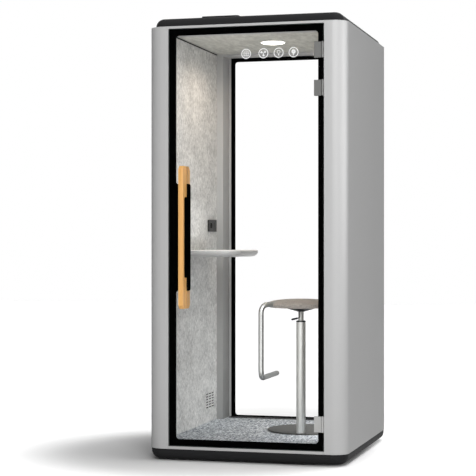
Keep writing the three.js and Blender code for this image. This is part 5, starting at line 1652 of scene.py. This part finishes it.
class POD_OT_seat(bpy.types.Operator):
    """Upholster the seat: a cushion that is swollen by a cloth simulation."""

    bl_idname = "pod.seat"
    bl_label = "Seat"

    def execute(self, context):
        """A slightly small copy of the CAD pad is remeshed, swollen, capped and smoothed."""
        sizes = context.scene.pod_sizes
        pad = link("seat_cushion", self.slack_mesh(sizes.seat_shrink))
        remesh = pad.modifiers.new("remesh", "REMESH")
        remesh.mode = "VOXEL"
        remesh.voxel_size = sizes.seat_voxel
        pad = link("seat_cushion", plain_mesh(pad, "seat_cushion"))
        self.swell(context.scene, pad, sizes)
        smooth = pad.modifiers.new("smooth", "SUBSURF")
        smooth.levels = 1
        smooth.render_levels = 1
        mesh = self.open_for_tube(plain_mesh(pad, "seat_cushion"))
        mesh.shade_smooth()
        cushion = place(
            "seat_cushion", mesh, "seat_pad", "seat_fabric", "woven_wool_upholstery", stands_in=True
        )
        return {"FINISHED"}

    def slack_mesh(self, slack):
        """The pad's turned form, a little smaller than the CAD pad."""
        low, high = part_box("seat_pad")
        radius = radius_of("seat_pad") - slack
        flat = radius - SEAT_LIFT_RUN
        top = high.z - slack
        rim = low.z + SEAT_RIM
        shoulder = rim + SEAT_SHOULDER
        crown = radius - SEAT_CROWN_RUN
        profile = [(0, low.z)]
        for step in range(SEAT_LIFT_STEPS + 1):
            s = step / SEAT_LIFT_STEPS
            across = flat * (1 - s) ** 2 + radius * 2 * s * (1 - s) + radius * s * s
            up = low.z * ((1 - s) ** 2 + 2 * s * (1 - s)) + rim * s * s
            profile.append((across, up))
        for step in range(1, SEAT_CROWN_STEPS + 1):
            s = step / SEAT_CROWN_STEPS
            shares = ((1 - s) ** 3, 3 * s * (1 - s) ** 2, 3 * s * s * (1 - s), s**3)
            across = radius * (shares[0] + shares[1]) + crown * shares[2]
            up = rim * shares[0] + shoulder * shares[1] + top * (shares[2] + shares[3])
            profile.append((across, up))
        return turned_mesh("seat_slack", profile, middle_of("lift_rod"), SEAT_SIDES)

    def swell(self, scene, pad, sizes):
        """Swells the pad by pressure, holds its underside flat, and caps how far each point moves."""
        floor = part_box("seat_pad")[0].z
        held = pad.vertex_groups.new(name="held")
        before = [vertex.co.copy() for vertex in pad.data.vertices]
        under = [index for index, point in enumerate(before) if point.z < floor + SEAT_HELD]
        held.add(under, 1.0, "REPLACE")
        cloth = pad.modifiers.new("swell", "CLOTH")
        cloth.settings.quality = 6
        cloth.settings.mass = 0.3
        cloth.settings.use_pressure = True
        cloth.settings.uniform_pressure_force = sizes.seat_pressure
        cloth.settings.effector_weights.gravity = 0
        cloth.settings.vertex_group_mass = held.name
        cloth.collision_settings.use_collision = False
        cloth.point_cache.frame_start = 1
        cloth.point_cache.frame_end = SWELL_FRAMES
        for number in range(1, SWELL_FRAMES + 1):
            scene.frame_set(number)
        graph = bpy.context.evaluated_depsgraph_get()
        swollen = [vertex.co.copy() for vertex in pad.evaluated_get(graph).data.vertices]
        pad.modifiers.remove(cloth)
        scene.frame_set(1)
        for vertex, start, end in zip(pad.data.vertices, before, swollen):
            move = end - start
            if move.length > sizes.seat_cap:
                move = move.normalized() * sizes.seat_cap
            vertex.co = start + move
            vertex.co.z = max(vertex.co.z, floor)

    def open_for_tube(self, mesh):
        """Cuts the hole in which the footrest's tube sits."""
        longer, wider = TUBE_ROOM
        pad = link("seat_cushion", mesh)
        room = tube_mesh("tube_room", footrest_route(longer), FOOTREST_RADIUS + wider, FOOTREST_DOME)
        tool = link("tube_room", room)
        hole = pad.modifiers.new("hole", "BOOLEAN")
        hole.operation = "DIFFERENCE"
        hole.solver = "EXACT"
        hole.object = tool
        cut = plain_mesh(pad, "seat_cushion")
        bpy.data.objects.remove(tool)
        return cut


class POD_PT_panel(bpy.types.Panel):
    """The pod's steps and settings."""

    bl_label = "Acoustic office pod"
    bl_idname = "POD_PT_panel"
    bl_space_type = "VIEW_3D"
    bl_region_type = "UI"
    bl_category = "Pod"

    def draw(self, context):
        """Lists the operators, then the settings."""
        for step in STEPS:
            self.layout.operator(step.bl_idname)
        for group, settings in GROUPS.items():
            column = self.layout.column(align=True)
            for name in group.__annotations__:
                column.prop(getattr(context.scene, settings), name)


GROUPS = {PodColours: "pod_colours", PodSizes: "pod_sizes", PodStage: "pod_stage"}
STEPS = (
    POD_OT_finishes,
    POD_OT_stage,
    POD_OT_shell,
    POD_OT_lining,
    POD_OT_carpet,
    POD_OT_glazing,
    POD_OT_pictograms,
    POD_OT_door_fittings,
    POD_OT_roof_fittings,
    POD_OT_table,
    POD_OT_stool,
    POD_OT_seat,
)


def register():
    """Registers the settings, the operators and the panel."""
    for group, name in GROUPS.items():
        bpy.utils.register_class(group)
        setattr(bpy.types.Scene, name, PointerProperty(type=group))
    for step in STEPS:
        bpy.utils.register_class(step)
    bpy.utils.register_class(POD_PT_panel)


def unregister():
    """Takes out everything that register put in."""
    bpy.utils.unregister_class(POD_PT_panel)
    for step in reversed(STEPS):
        bpy.utils.unregister_class(step)
    for group, name in GROUPS.items():
        delattr(bpy.types.Scene, name)
        bpy.utils.unregister_class(group)


def main():
    """Registers the add-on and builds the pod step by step."""
    register()
    bpy.ops.pod.finishes()
    bpy.ops.pod.stage()
    bpy.ops.pod.shell()
    bpy.ops.pod.lining()
    bpy.ops.pod.carpet()
    bpy.ops.pod.glazing()
    bpy.ops.pod.pictograms()
    bpy.ops.pod.door_fittings()
    bpy.ops.pod.roof_fittings()
    bpy.ops.pod.table()
    bpy.ops.pod.stool()
    bpy.ops.pod.seat()


if __name__ == "__main__":
    main()
